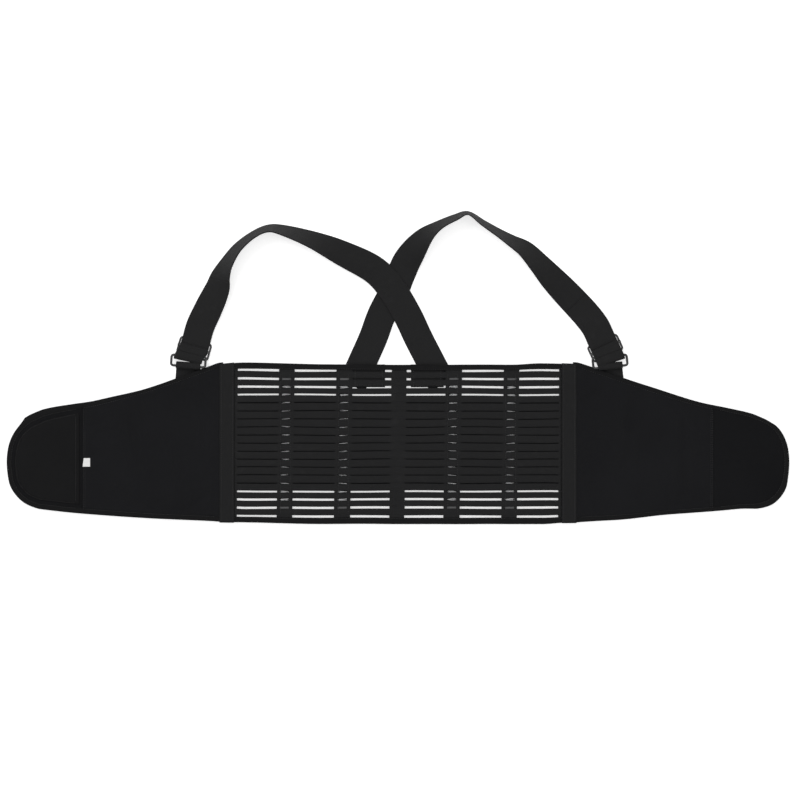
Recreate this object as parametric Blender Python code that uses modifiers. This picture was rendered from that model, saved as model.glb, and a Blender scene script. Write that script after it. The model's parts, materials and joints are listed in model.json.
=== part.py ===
"""Back brace: an elastic lumbar belt with ladder-elastic back, spring stays, side pulls and suspenders.

The belt lies flat with its outer face down and its inner face up. +X runs along the belt, +Y towards the
suspenders and +Z up. The origin is at the middle of the outer band's underside, where the brace rests.
"""

import math

import bmesh
import bpy
from mathutils import Matrix, Vector

# Clearances
GAP = 0.0003            # between two pieces that lie on each other
RUN = 0.0004            # between a piece and the webbing that runs over it

# Belt
BELT_HEIGHT = 0.224     # across the back panel
PANEL_HALF = 0.2285     # middle to the side edge of the ladder elastic
SEAM_TAPE = 0.0215      # width of the tape that joins panel and wing
WING_LENGTH = 0.297     # fold seam to tip
END_START = 0.191       # fold seam to closure seam
BINDING = 0.007         # width of the edge binding

# Wing edges as (share of the wing's length, share of half the belt's height)
WING_TOP = ((0.0, 1.0), (0.045, 0.967), (0.256, 0.777), (0.47, 0.6), (0.58, 0.521), (0.69, 0.464),
            (0.805, 0.397), (0.86, 0.345), (0.915, 0.27), (0.96, 0.152), (0.99, -0.02), (1.0, -0.24))
WING_BOTTOM = ((0.99, -0.47), (0.965, -0.61), (0.92, -0.73), (0.86, -0.8), (0.805, -0.822),
               (0.633, -0.868), (0.327, -0.929), (0.045, -0.966), (0.0, -0.975))

# Thicknesses and heights, from the floor up
BAND_THICK = 0.0016
TAPE_THICK = 0.0006
STAY_THICK = 0.0018
ELASTIC_THICK = 0.0014
SEAM_TAPE_THICK = 0.0008
FOAM_THICK = 0.0044
BINDING_THICK = 0.005
PAD_THICK = 0.0014
TAPE_Z = BAND_THICK + GAP
STAY_Z = TAPE_Z + TAPE_THICK + GAP
ELASTIC_Z = STAY_Z + STAY_THICK + GAP
ELASTIC_TOP = ELASTIC_Z + ELASTIC_THICK
BINDING_Z = BAND_THICK + GAP
FOAM_Z = BINDING_Z + (BINDING_THICK - FOAM_THICK) / 2
FOAM_TOP = FOAM_Z + FOAM_THICK
HINGE_Z = ELASTIC_TOP + GAP + SEAM_TAPE_THICK + GAP
SEAM = PANEL_HALF + SEAM_TAPE       # middle to the wing's fold
SEAM_END = 0.002        # the seam's strips stop short of the belt's edge

# Ladder elastic
ROW_PITCH = 0.0112
ROWS = int((BELT_HEIGHT - BINDING) / ROW_PITCH)
SLOT = 0.0028
WINDOWS = ((0.0105, 0.065), (0.088, 0.146), (0.168, 0.2245))
STAY_AT = (0.0765, 0.1575)
DASH_HALF = 0.0065

# Stays
STAY_WIDTH = 0.013
STAY_LENGTH = BELT_HEIGHT - 0.034
CAP_LENGTH = 0.009
CHANNEL_WIDTH = 0.0185

# Outer band and side pulls
BAND_HEIGHT = BELT_HEIGHT - 0.094
PULL_SEAM = 0.195
PULL_LENGTH = 0.2
HOOK_TAB = 0.04

# Closure
PAD_INSET = 0.004
LABEL = (0.0105, 0.012)     # bare woven label, sewn in at the closure seam
LABEL_AT = -0.027

# Suspenders
STRAP_WIDTH = 0.04
STRAP_THICK = 0.0016
STRAP_TAIL = 0.036      # length sewn behind the panel
LEFT_ANCHOR = 0.046     # where each strap leaves the belt's top edge, along X
RIGHT_ANCHOR = -0.05
PATCH = (0.046, 0.032)  # reinforcement over a strap's tail
PATCH_AT = 0.041
STRAP_RISE = 0.186      # top edge of the belt to the top of the arch
STRAP_LIFT = 0.0001     # keeps a tilted strap's lower edge off the floor
# Routes from the belt's top edge to the adjuster: (share of the way across, share of the rise, tilt in degrees)
LEFT_ROUTE = ((0.055, 0.183, 0), (0.104, 0.36, 0), (0.168, 0.543, 0), (0.247, 0.692, 6),
              (0.38, 0.812, 25), (0.512, 0.914, 50), (0.645, 0.988, 66), (0.712, 1.0, 72),
              (0.778, 0.95, 72), (0.845, 0.854, 67), (0.905, 0.715, 54), (0.947, 0.58, 34), (0.977, 0.45, 12))
RIGHT_ROUTE = ((0.047, 0.183, 0), (0.085, 0.36, 0), (0.14, 0.543, 0), (0.17, 0.67, 0),
               (0.2, 0.78, 12), (0.262, 0.93, 46), (0.327, 1.02, 68), (0.405, 1.085, 75), (0.46, 1.115, 80),
               (0.525, 1.04, 75), (0.592, 0.967, 70), (0.66, 0.89, 62), (0.763, 0.769, 48),
               (0.822, 0.672, 42), (0.894, 0.554, 28), (0.9525, 0.446, 10))
STRAP_STEPS = 4         # rows of webbing between two points of a route

# Adjusters, as seen from the fold seam and the belt's top edge
RING_SHORT = 0.018
RING_WIRE = 0.0016      # wire radius
RING_LONG = STRAP_WIDTH + 2 * (2 * RING_WIRE + 0.0023)
TAB_WIDTH = STRAP_WIDTH - 0.006
TAB_LEG = 0.016
TAB_CLEAR = 0.0022      # the tab's turn clear of the wing's edge
SLIDER_SHORT = 0.026
SLIDER_THICK = 0.0026
SLIDER_BAR = 0.003
SLIDER_ROOM = 0.002     # slot longer than the webbing is wide
SLIDER_LONG = STRAP_WIDTH + SLIDER_ROOM + 2 * 0.0025
MIDDLE_BAR = 0.004
TRAVEL = 0.025
# Each ring: fold seam to the middle of its tab along X, and lean towards the belt's middle in degrees
RINGS = {"left": (0.0405, 4.0), "right": (0.044, 6.0)}
# Each slider: room over the ring's upper bar, shift along the bar, turn in degrees
SLIDERS = {"left": (0.0075, -0.0039, 16.0), "right": (0.0062, 0.0, 25.0)}

SIDES = (("left", -1), ("right", 1))

# Materials: colour, roughness, metallic
FINISH = {
    "ladder_elastic": ((0.018, 0.018, 0.019), 0.85, 0.0),
    "elastic_band": ((0.014, 0.014, 0.015), 0.8, 0.0),
    "tape": ((0.022, 0.022, 0.023), 0.8, 0.0),
    "foam_fabric": ((0.010, 0.010, 0.011), 0.9, 0.0),
    "binding": ((0.016, 0.016, 0.017), 0.75, 0.0),
    "webbing": ((0.020, 0.020, 0.022), 0.75, 0.0),
    "hook_fabric": ((0.008, 0.008, 0.009), 0.7, 0.0),
    "loop_fabric": ((0.012, 0.012, 0.013), 0.95, 0.0),
    "label": ((0.8, 0.8, 0.8), 0.6, 0.0),
    "spring_steel": ((0.42, 0.42, 0.43), 0.35, 1.0),
    "cap_plastic": ((0.05, 0.05, 0.052), 0.4, 0.0),
    "buckle_plastic": ((0.012, 0.012, 0.013), 0.25, 0.0),
}


def clear_scene():
    for item in list(bpy.data.objects):
        bpy.data.objects.remove(item, do_unlink=True)


def finish(name):
    """The material of a finish, made once."""
    found = bpy.data.materials.get(name)
    if found:
        return found
    colour, roughness, metallic = FINISH[name]
    made = bpy.data.materials.new(name)
    made.use_nodes = True
    shader = made.node_tree.nodes["Principled BSDF"]
    shader.inputs["Base Color"].default_value = (*colour, 1.0)
    shader.inputs["Roughness"].default_value = roughness
    shader.inputs["Metallic"].default_value = metallic
    return made


def link(item, material):
    """Put a finished piece in the object's collection."""
    home = bpy.data.collections.get("back_brace")
    if home is None:
        home = bpy.data.collections.new("back_brace")
        bpy.context.scene.collection.children.link(home)
    home.objects.link(item)
    item.data.materials.append(finish(material))
    return item


# ---------------------------------------------------------------- shapes

def plate(name, outline, low, high, material, holes=()):
    """A flat piece: an outline in X and Y, with holes, between two heights."""
    curve = bpy.data.curves.new(name, "CURVE")
    curve.dimensions = "2D"
    curve.fill_mode = "BOTH"
    curve.extrude = (high - low) / 2
    for loop in (outline, *holes):
        spline = curve.splines.new("POLY")
        spline.points.add(len(loop) - 1)
        for point, (x, y) in zip(spline.points, loop):
            point.co = (x, y, 0.0, 1.0)
        spline.use_cyclic_u = True
    item = link(bpy.data.objects.new(name, curve), material)
    item.location.z = (low + high) / 2
    return item


def block(name, size, middle, material, bevel=0.0):
    """A box, with its edges rounded where bevel isn't 0."""
    mesh = bpy.data.meshes.new(name)
    form = bmesh.new()
    bmesh.ops.create_cube(form, size=1.0, matrix=Matrix.Diagonal((*size, 1.0)))
    form.to_mesh(mesh)
    form.free()
    item = link(bpy.data.objects.new(name, mesh), material)
    item.location = middle
    if bevel:
        rounding = item.modifiers.new("edges", "BEVEL")
        rounding.width = bevel
        rounding.segments = 2
    return item


def ribbon(name, rows, thickness, material):
    """Webbing: pairs of edge points joined into a strip, then given its thickness."""
    mesh = bpy.data.meshes.new(name)
    form = bmesh.new()
    pairs = [(form.verts.new(a), form.verts.new(b)) for a, b in rows]
    for (a, b), (c, d) in zip(pairs, pairs[1:]):
        form.faces.new((a, b, d, c))
    form.to_mesh(mesh)
    form.free()
    item = link(bpy.data.objects.new(name, mesh), material)
    wall = item.modifiers.new("thickness", "SOLIDIFY")
    wall.thickness = thickness
    wall.offset = 0.0
    wall.use_even_offset = True
    return item


def smooth(points, steps):
    """A smooth curve through points, with the given steps between each two."""
    ends = [points[0]] + list(points) + [points[-1]]
    curve = []
    for i in range(len(points) - 1):
        a, b, c, d = (Vector(p) for p in ends[i:i + 4])
        for k in range(steps):
            t = k / steps
            curve.append(0.5 * (2 * b + (c - a) * t + (2 * a - 5 * b + 4 * c - d) * t * t
                                + (3 * b - a - 3 * c + d) * t ** 3))
    curve.append(Vector(points[-1]))
    return curve


def inset(line, distance):
    """An open line moved sideways, to the right of its own direction."""
    moved = []
    for i, point in enumerate(line):
        before = line[max(i - 1, 0)]
        after = line[min(i + 1, len(line) - 1)]
        along = (after - before).normalized()
        moved.append(Vector((point.x + along.y * distance, point.y - along.x * distance)))
    return moved


# ---------------------------------------------------------------- belt outline

def wing_edge(side):
    """The wing's free edge, from the top of the fold seam round the tip to its foot."""
    half = BELT_HEIGHT / 2
    points = [(SEAM + GAP / 2 + u * (WING_LENGTH - GAP / 2), v * half) for u, v in WING_TOP + WING_BOTTOM]
    return [Vector((side * p.x, p.y)) for p in smooth(points, 3)]


def split(line, x, side):
    """The parts of a wing edge before, beyond and after the closure seam at x."""
    top, tip, foot = [], [], []
    for point in line:
        if side * point.x > x:
            tip.append(point)
        elif tip:
            foot.append(point)
        else:
            top.append(point)
    return top, tip, foot


def at_x(line, x):
    """The point of a line where it passes x, found between its two neighbours."""
    for a, b in zip(line, line[1:]):
        if (a.x - x) * (b.x - x) <= 0 and a.x != b.x:
            return a.lerp(b, (x - a.x) / (b.x - a.x))
    return line[-1]


def closure_x():
    return SEAM + END_START


# ---------------------------------------------------------------- back

def back_panel():
    half = BELT_HEIGHT / 2 - BINDING / 2
    slots = []
    for row in range(ROWS):
        y = (row - (ROWS - 1) / 2) * ROW_PITCH
        for side in (-1, 1):
            spans = list(WINDOWS)
            if 0 < row < ROWS - 1:
                spans += [(x - DASH_HALF, x + DASH_HALF) for x in STAY_AT]
            for a, b in spans:
                slots.append(rectangle(side * (a + b) / 2, y, b - a, SLOT))
    plate("back_panel", rectangle(0.0, 0.0, 2 * PANEL_HALF, 2 * half), ELASTIC_Z, ELASTIC_TOP,
          "ladder_elastic", slots)


def rectangle(x, y, width, height):
    return [(x - width / 2, y - height / 2), (x + width / 2, y - height / 2),
            (x + width / 2, y + height / 2), (x - width / 2, y + height / 2)]


def panel_binding(name, side):
    """A folded tape that holds the panel's long edge: a U section run along X."""
    edge = BELT_HEIGHT / 2 - BINDING / 2
    wall = TAPE_THICK
    reach = BELT_HEIGHT / 2 - BINDING
    out = edge + GAP + wall / 2
    low = ELASTIC_Z - GAP - wall / 2
    high = ELASTIC_TOP + GAP + wall / 2
    bend = 0.0004
    section = ((reach, low), (out - bend, low), (out, low + bend), (out, high - bend), (out - bend, high),
               (reach, high))
    rows = [(Vector((-PANEL_HALF, side * y, z)), Vector((PANEL_HALF, side * y, z))) for y, z in section]
    ribbon(name, rows, wall, "binding")


def seam_strip(name, side, inner, low, high, material):
    """A strip down the seam between panel and wing, up to the fold."""
    outer = SEAM - GAP / 2
    plate(name, rectangle(side * (inner + outer) / 2, 0.0, outer - inner, BELT_HEIGHT - 2 * SEAM_END),
          low, high, material)


def seam(word, side):
    """The tape over the seam, and the doubled fabric under it that joins ladder elastic and wing."""
    low = HINGE_Z - GAP - SEAM_TAPE_THICK
    seam_strip(f"seam_tape_{word}", side, PANEL_HALF, low, low + SEAM_TAPE_THICK, "tape")
    seam_strip(f"seam_core_{word}", side, PANEL_HALF + GAP, BINDING_Z, low - GAP, "foam_fabric")


def stay(index, x):
    """A flat spring stay, its two end caps and the tape that backs its channel."""
    bare = STAY_LENGTH - 2 * CAP_LENGTH
    block(f"stay_{index}", (STAY_WIDTH, bare - 2 * GAP, STAY_THICK), (x, 0.0, STAY_Z + STAY_THICK / 2),
          "spring_steel")
    for end, side in (("upper", 1), ("lower", -1)):
        y = side * (bare / 2 + CAP_LENGTH / 2)
        block(f"stay_cap_{index}_{end}", (STAY_WIDTH + 0.001, CAP_LENGTH, STAY_THICK),
              (x, y, STAY_Z + STAY_THICK / 2), "cap_plastic", 0.0004)
    block(f"stay_channel_{index}", (CHANNEL_WIDTH, STAY_LENGTH + 0.008, TAPE_THICK),
          (x, 0.0, TAPE_Z + TAPE_THICK / 2), "tape")


def centre_tape():
    high = ELASTIC_Z - GAP
    low = TAPE_Z
    block("centre_tape", (2 * WINDOWS[0][0] - 0.002, BELT_HEIGHT - 4 * BINDING, high - low),
          (0.0, 0.0, (low + high) / 2), "tape")


def outer_band():
    block("lumbar_band", (2 * PULL_SEAM - GAP, BAND_HEIGHT, BAND_THICK), (0.0, 0.0, BAND_THICK / 2),
          "elastic_band")
    for word, side in SIDES:
        start = PULL_SEAM + GAP / 2
        body = PULL_LENGTH - HOOK_TAB
        block(f"side_pull_{word}", (body, BAND_HEIGHT, BAND_THICK),
              (side * (start + body / 2), 0.0, BAND_THICK / 2), "elastic_band")
        x0 = start + body + GAP
        x1 = x0 + HOOK_TAB
        y = BAND_HEIGHT / 2
        plate(f"pull_tab_{word}", [(side * x0, -y), (side * (x1 - 0.012), -y), (side * x1, -y + 0.014),
                                   (side * x1, y - 0.014), (side * (x1 - 0.012), y), (side * x0, y)],
              0.0, BAND_THICK, "hook_fabric")


# ---------------------------------------------------------------- wings

def wing(word, side):
    """The foam wing up to the closure seam, its end beyond the seam, and their edge bindings."""
    edge = wing_edge(side)
    seam_x = side * closure_x()
    top, tip, foot = split(edge, closure_x(), side)
    top_cut, foot_cut = at_x(edge, seam_x), at_x(edge[::-1], seam_x)
    lead = Vector((-side * BINDING, 0.0))
    near = GAP / 2
    tip_line = [top_cut] + tip + [foot_cut]
    for name, line, inner in ((f"wing_binding_{word}_top", [top[0] + lead] + top + [tip[0]], True),
                              (f"wing_binding_{word}_foot", [tip[-1]] + foot + [foot[-1] + lead], True),
                              (f"end_binding_{word}", tip_line, False)):
        strip = clip(line + inset(line, side * BINDING)[::-1], seam_x, side, near, inner)
        strip = clip(strip, side * SEAM, side, near, False)
        plate(name, [(p.x, p.y) for p in strip], BINDING_Z, BINDING_Z + BINDING_THICK, "binding")
    core = inset([edge[0] + lead] + edge + [edge[-1] + lead], side * (BINDING + GAP))
    core = clip(core, side * SEAM, side, near, False)
    for name, inner in ((f"wing_{word}", True), (f"wing_end_{word}", False)):
        part = clip(core, seam_x, side, near, inner)
        plate(name, [(p.x, p.y) for p in part], FOAM_Z, FOAM_TOP, "foam_fabric")


def clip(shape, x, side, margin, keep_inner):
    """The part of a closed outline on one side of the line at x, a margin away from it."""
    limit = x - side * margin if keep_inner else x + side * margin
    sign = side if keep_inner else -side
    kept = []
    for a, b in zip(shape, shape[1:] + shape[:1]):
        a_in, b_in = sign * (limit - a.x) >= 0, sign * (limit - b.x) >= 0
        if a_in:
            kept.append(a)
        if a_in != b_in:
            kept.append(a.lerp(b, (limit - a.x) / (b.x - a.x)))
    return [p for p, q in zip(kept, kept[1:] + kept[:1]) if (p - q).length > 1e-4]


def closure_pad(name, side, low, material):
    """A fabric patch over the wing's end, set in from its edge."""
    edge = inset(wing_edge(side), side * (BINDING + PAD_INSET))
    shape = clip(edge, side * (closure_x() + PAD_INSET), side, 0.0, False)
    plate(name, [(p.x, p.y) for p in shape], low, low + PAD_THICK, material)


def size_label():
    x = -(closure_x() - GAP - LABEL[0] / 2)
    block("label", (*LABEL, TAPE_THICK), (x, LABEL_AT, FOAM_TOP + GAP + TAPE_THICK / 2), "label")


# ---------------------------------------------------------------- adjusters

class Adjuster:
    """Places and directions of one side's ring, tab and slider."""

    def __init__(self, word, side):
        self.side = side
        edge = wing_edge(side)
        ring_at, lean = RINGS[word]
        spot = at_x(edge, side * (SEAM + ring_at))
        near = at_x(edge, side * (SEAM + ring_at - TAB_WIDTH / 2))
        far = at_x(edge, side * (SEAM + ring_at + TAB_WIDTH / 2))
        edge_run = Vector((*(far - near).normalized(), 0.0))
        edge_out = Vector((-edge_run.y, edge_run.x, 0.0)) * side
        lean = math.radians(lean)
        self.out = Vector((-side * math.sin(lean), math.cos(lean), 0.0))
        self.across = Vector((side * math.cos(lean), math.sin(lean), 0.0))
        slope = self.across.angle(edge_run)
        reach = TAB_WIDTH / 2 * math.sin(slope) + TAB_CLEAR * math.cos(slope)
        self.web_z = SLIDER_THICK + 2 * GAP + STRAP_THICK / 2
        self.ring_z = BINDING_Z + BINDING_THICK + RUN + RING_WIRE
        self.pivot = Vector((spot.x, spot.y, self.ring_z)) + edge_out * reach
        self.upper_bar = self.pivot + self.out * (RING_SHORT - 2 * RING_WIRE)
        room, shift, turn = SLIDERS[word]
        angle = math.radians(turn)
        self.up = Vector((-side * math.sin(angle), math.cos(angle), 0.0))
        self.wide = Vector((side * math.cos(angle), math.sin(angle), 0.0))
        slant = self.up.angle(self.out)
        above = room + STRAP_WIDTH / 2 * math.sin(slant)
        self.middle = self.upper_bar + self.up * above + self.wide * shift
        self.middle.z = 0.0
        self.length = TRAVEL + SLIDER_SHORT / 2 + 0.004
        self.top = self.middle + self.up * self.length


def ring(word, spot):
    """A rectangular wire ring: one closed tube with rounded corners."""
    half = RING_LONG / 2 - RING_WIRE
    low = 0.0
    high = RING_SHORT - 2 * RING_WIRE
    corner = 0.0028
    steps = 3
    path = []
    for cu, cv, start in ((half - corner, low + corner, -90), (half - corner, high - corner, 0),
                          (-half + corner, high - corner, 90), (-half + corner, low + corner, 180)):
        for k in range(steps + 1):
            angle = math.radians(start + 90 * k / steps)
            path.append((cu + corner * math.cos(angle), cv + corner * math.sin(angle)))
    mesh = bpy.data.meshes.new("ring")
    form = bmesh.new()
    sides = 8
    rings = []
    for i, (u, v) in enumerate(path):
        before, after = path[i - 1], path[(i + 1) % len(path)]
        direction = Vector((after[0] - before[0], after[1] - before[1])).normalized()
        outward = spot.across * direction.y - spot.out * direction.x
        middle = spot.pivot + spot.across * u + spot.out * v
        rings.append([form.verts.new(middle + RING_WIRE * (outward * math.cos(a) + Vector((0, 0, 1)) * math.sin(a)))
                      for a in (2 * math.pi * k / sides for k in range(sides))])
    for one, two in zip(rings, rings[1:] + rings[:1]):
        for k in range(sides):
            form.faces.new((one[k], one[(k + 1) % sides], two[(k + 1) % sides], two[k]))
    bmesh.ops.recalc_face_normals(form, faces=form.faces)
    form.to_mesh(mesh)
    form.free()
    link(bpy.data.objects.new(f"ring_{word}", mesh), "buckle_plastic")


def around(middle, out, radius, start, stop, steps):
    """Points on an arc in the plane of out and Z, by angle from out."""
    points = []
    for k in range(steps + 1):
        angle = math.radians(start + (stop - start) * k / steps)
        points.append(middle + out * (radius * math.cos(angle)) + Vector((0, 0, radius * math.sin(angle))))
    return points


def widen(points, across, width):
    return [(p - across * (width / 2), p + across * (width / 2)) for p in points]


def ring_tab(word, spot):
    """Webbing sewn under the wing's edge that turns up round the ring's lower bar."""
    turn = RING_WIRE + RUN + STRAP_THICK / 2
    foot = Vector((spot.pivot.x, spot.pivot.y, STRAP_THICK / 2))
    wrap = around(spot.pivot, spot.out, turn, -70, 190, 9)
    start = [foot - spot.out * (TAB_LEG + 0.004), foot - spot.out * 0.004, foot - spot.out * 0.0004]
    ribbon(f"ring_tab_{word}", widen(start + wrap, spot.across, TAB_WIDTH), STRAP_THICK, "webbing")


def slider(word, spot):
    """A three-bar slider: a flat frame under the webbing and a raised middle bar over it."""
    turn = Matrix((spot.wide * spot.side, spot.up, Vector((0, 0, 1)))).transposed().to_4x4()
    place = Matrix.Translation(spot.middle) @ turn
    lift = spot.web_z + STRAP_THICK / 2 + RUN
    top = lift + SLIDER_THICK
    window = STRAP_WIDTH + SLIDER_ROOM
    frame = welded(f"slider_{word}", rectangle(0.0, 0.0, SLIDER_LONG, SLIDER_SHORT), SLIDER_THICK,
                   place @ Matrix.Translation((0, 0, GAP + SLIDER_THICK / 2)),
                   [rectangle(0.0, 0.0, window, SLIDER_SHORT - 2 * SLIDER_BAR)])
    item = link(frame, "buckle_plastic")
    out = SLIDER_LONG / 2 - GAP
    low = GAP + SLIDER_THICK / 2
    arch = [(-out, low), (-window / 2, low), (-window / 2, lift), (window / 2, lift), (window / 2, low),
            (out, low), (out, top), (-out, top)]
    upright = Matrix.Rotation(math.radians(90), 4, "X")
    bridge = welded(f"slider_{word}_bridge", arch, MIDDLE_BAR, place @ upright, [])
    cutters().objects.link(bridge)
    bridge.hide_render = True
    bridge.display_type = "WIRE"
    join = item.modifiers.new("join", "BOOLEAN")
    join.operation = "UNION"
    join.object = bridge
    return top


def welded(name, outline, thickness, place, holes):
    """A flat outline of the given thickness as one mesh, at its place."""
    curve = bpy.data.curves.new("outline", "CURVE")
    curve.dimensions = "2D"
    curve.fill_mode = "BOTH"
    curve.extrude = thickness / 2
    for loop in (outline, *holes):
        spline = curve.splines.new("POLY")
        spline.points.add(len(loop) - 1)
        for point, (x, y) in zip(spline.points, loop):
            point.co = (x, y, 0.0, 1.0)
        spline.use_cyclic_u = True
    source = bpy.data.objects.new("outline", curve)
    bpy.context.scene.collection.objects.link(source)
    graph = bpy.context.evaluated_depsgraph_get()
    mesh = bpy.data.meshes.new_from_object(source.evaluated_get(graph))
    form = bmesh.new()
    form.from_mesh(mesh)
    bmesh.ops.remove_doubles(form, verts=form.verts, dist=1e-6)
    bmesh.ops.transform(form, matrix=place, verts=form.verts)
    bmesh.ops.recalc_face_normals(form, faces=form.faces)
    form.to_mesh(mesh)
    form.free()
    bpy.data.objects.remove(source)
    return bpy.data.objects.new(name, mesh)


def cutters():
    home = bpy.data.collections.get("cutters")
    if home is None:
        home = bpy.data.collections.new("cutters")
        bpy.context.scene.collection.children.link(home)
    return home


def strap_loop(word, spot, bar_top):
    """The webbing through the slider and round the ring, and its sewn end on the slider's middle bar."""
    up_z = Vector((0, 0, spot.web_z))
    down = [spot.top + up_z, spot.middle + spot.up * (SLIDER_SHORT / 2) + up_z, spot.middle + up_z,
            spot.middle - spot.up * (MIDDLE_BAR / 2 + 0.0008) + up_z]
    rows = widen(down, spot.wide, STRAP_WIDTH)
    turn = RING_WIRE + RUN + STRAP_THICK / 2
    fold = around(spot.upper_bar, -spot.out, turn, -90, 90, 8)
    bend = widen(fold, spot.across, STRAP_WIDTH)
    over = bar_top + RUN + STRAP_THICK / 2
    share = 0.42
    ease = mix(rows[-1], bend[0], 0.5)
    rows += [ease] + bend
    last = mix(bend[-1], lifted(rows[2], over - spot.web_z), share)
    rows.append(last)
    ribbon(f"strap_loop_{word}", rows, STRAP_THICK, "webbing")
    crest = [spot.middle + Vector((0, 0, over)),
             spot.middle + spot.up * (MIDDLE_BAR / 2 + 0.0003) + Vector((0, 0, over - 0.0001)),
             spot.middle + spot.up * (MIDDLE_BAR / 2 + RUN + STRAP_THICK / 2) + Vector((0, 0, over - 0.0012)),
             spot.middle + spot.up * (MIDDLE_BAR / 2 + RUN + STRAP_THICK / 2) + Vector((0, 0, over - 0.003))]
    start = mix(bend[-1], lifted(rows[2], over - spot.web_z), share + 0.035)
    end_rows = [start] + widen(crest, spot.wide, STRAP_WIDTH - 0.001)
    ribbon(f"loop_end_{word}", end_rows, STRAP_THICK, "webbing")


def mix(one, two, share):
    return (one[0].lerp(two[0], share), one[1].lerp(two[1], share))


def lifted(row, height):
    return (row[0] + Vector((0, 0, height)), row[1] + Vector((0, 0, height)))


# ---------------------------------------------------------------- suspenders

def strap(word, spot, anchor_x, route, over):
    """One suspender, from its sewn tail over the crossing and the arch to above its slider."""
    side = spot.side
    top = BELT_HEIGHT / 2 + 0.001
    start = Vector((anchor_x, top))
    finish_at = spot.top + spot.up * GAP
    points = []
    across = finish_at.x - anchor_x
    for u, v, tilt in route:
        points.append((anchor_x + across * u, top + v * STRAP_RISE, tilt))
    lead = (Vector((points[0][0], points[0][1])) - start).normalized()
    tail = start - lead * STRAP_TAIL
    first = [(tail.x, tail.y, 0.0), (start.x, start.y, 0.0)]
    last = [(finish_at.x + spot.up.x * 0.012, finish_at.y + spot.up.y * 0.012, 4.0),
            (finish_at.x, finish_at.y, 0.0)]
    line = smooth(first + points + last, STRAP_STEPS)
    rows = []
    for i, here in enumerate(line):
        before, after = line[max(i - 1, 0)], line[min(i + 1, len(line) - 1)]
        along = Vector((after.x - before.x, after.y - before.y, 0.0)).normalized()
        if i == len(line) - 1:
            along = -spot.up
        inner = Vector((-along.y, along.x, 0.0)) * -side
        tilt = math.radians(max(here.z, 0.0))
        rise = STRAP_WIDTH / 2 * math.sin(tilt)
        base = STRAP_THICK / 2 + STRAP_LIFT + over(here)
        if i > len(line) - 3 * STRAP_STEPS:
            share = (i - (len(line) - 3 * STRAP_STEPS)) / (3 * STRAP_STEPS - 1)
            base += (spot.web_z - base) * share * share * (3 - 2 * share)
        middle = Vector((here.x, here.y, base + rise))
        reach = (inner * math.cos(tilt) + Vector((0, 0, math.sin(tilt)))) * (STRAP_WIDTH / 2)
        rows.append((middle - reach * side, middle + reach * side))
    ribbon(f"suspender_{word}", rows, STRAP_THICK, "webbing")


def level(here):
    """A strap that stays on the floor."""
    return 0.0


def hump(here):
    """The rise of the strap that passes over the other at the crossing."""
    low, high, run = BELT_HEIGHT / 2 + 0.02, BELT_HEIGHT / 2 + 0.165, 0.028
    if here.y <= low or here.x < -0.12:
        return 0.0
    share = min((here.y - low) / run, 1.0)
    if here.y > high - run:
        share = max(0.0, (high - here.y) / run)
    return (STRAP_THICK + 2 * GAP + 0.0004) * share * share * (3 - 2 * share)


def anchor_patch(name, x):
    """Folded webbing between a strap's tail and the ladder elastic."""
    low = STRAP_THICK + STRAP_LIFT + GAP
    high = ELASTIC_Z - 2 * GAP - TAPE_THICK
    top = BELT_HEIGHT / 2 - SEAM_END
    plate(name, rectangle(x, top - PATCH[1] / 2, *PATCH), low, high, "tape")


# ---------------------------------------------------------------- assembly

def build():
    clear_scene()
    back_panel()
    panel_binding("panel_binding_top", 1)
    panel_binding("panel_binding_bottom", -1)
    for word, side in SIDES:
        seam(word, side)
    places = [-STAY_AT[1], -STAY_AT[0], STAY_AT[0], STAY_AT[1]]
    for index, x in enumerate(places, start=1):
        stay(index, x)
    centre_tape()
    outer_band()
    spots = {}
    for word, side in SIDES:
        wing(word, side)
        spots[word] = Adjuster(word, side)
        ring(word, spots[word])
        ring_tab(word, spots[word])
        bar_top = slider(word, spots[word])
        strap_loop(word, spots[word], bar_top)
    closure_pad("hook_pad_left", -1, FOAM_TOP + GAP, "hook_fabric")
    closure_pad("loop_pad_right", 1, FOAM_Z - GAP - PAD_THICK, "loop_fabric")
    size_label()
    strap("left", spots["left"], LEFT_ANCHOR, LEFT_ROUTE, hump)
    strap("right", spots["right"], RIGHT_ANCHOR, RIGHT_ROUTE, level)
    anchor_patch("anchor_patch_right", PATCH_AT)
    anchor_patch("anchor_patch_left", -PATCH_AT)


build()
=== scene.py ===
"""Back brace: its fabrics, webbing, stays and fittings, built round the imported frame.

The belt lies flat, inner face up. +X runs along it, +Y towards the suspenders and +Z up. Lengths are metres.
"""

import json
import math

import bmesh
import bpy
import numpy as np
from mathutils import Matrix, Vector, geometry, noise


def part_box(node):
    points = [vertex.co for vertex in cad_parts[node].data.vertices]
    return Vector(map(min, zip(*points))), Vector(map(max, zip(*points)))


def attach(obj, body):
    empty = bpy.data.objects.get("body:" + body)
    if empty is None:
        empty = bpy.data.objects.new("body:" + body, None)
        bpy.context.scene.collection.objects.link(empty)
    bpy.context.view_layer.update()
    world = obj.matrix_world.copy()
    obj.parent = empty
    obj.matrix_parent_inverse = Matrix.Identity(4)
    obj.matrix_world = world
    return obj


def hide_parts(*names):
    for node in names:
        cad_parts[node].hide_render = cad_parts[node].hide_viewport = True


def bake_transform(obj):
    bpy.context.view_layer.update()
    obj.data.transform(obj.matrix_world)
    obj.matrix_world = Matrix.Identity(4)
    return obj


bl_info = {
    "name": "Back brace",
    "version": (1, 0, 0),
    "blender": (4, 5, 0),
    "location": "View3D > Sidebar > Brace",
    "description": "Builds the looks of an elastic back brace round its packed frame",
    "category": "Object",
}

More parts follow.
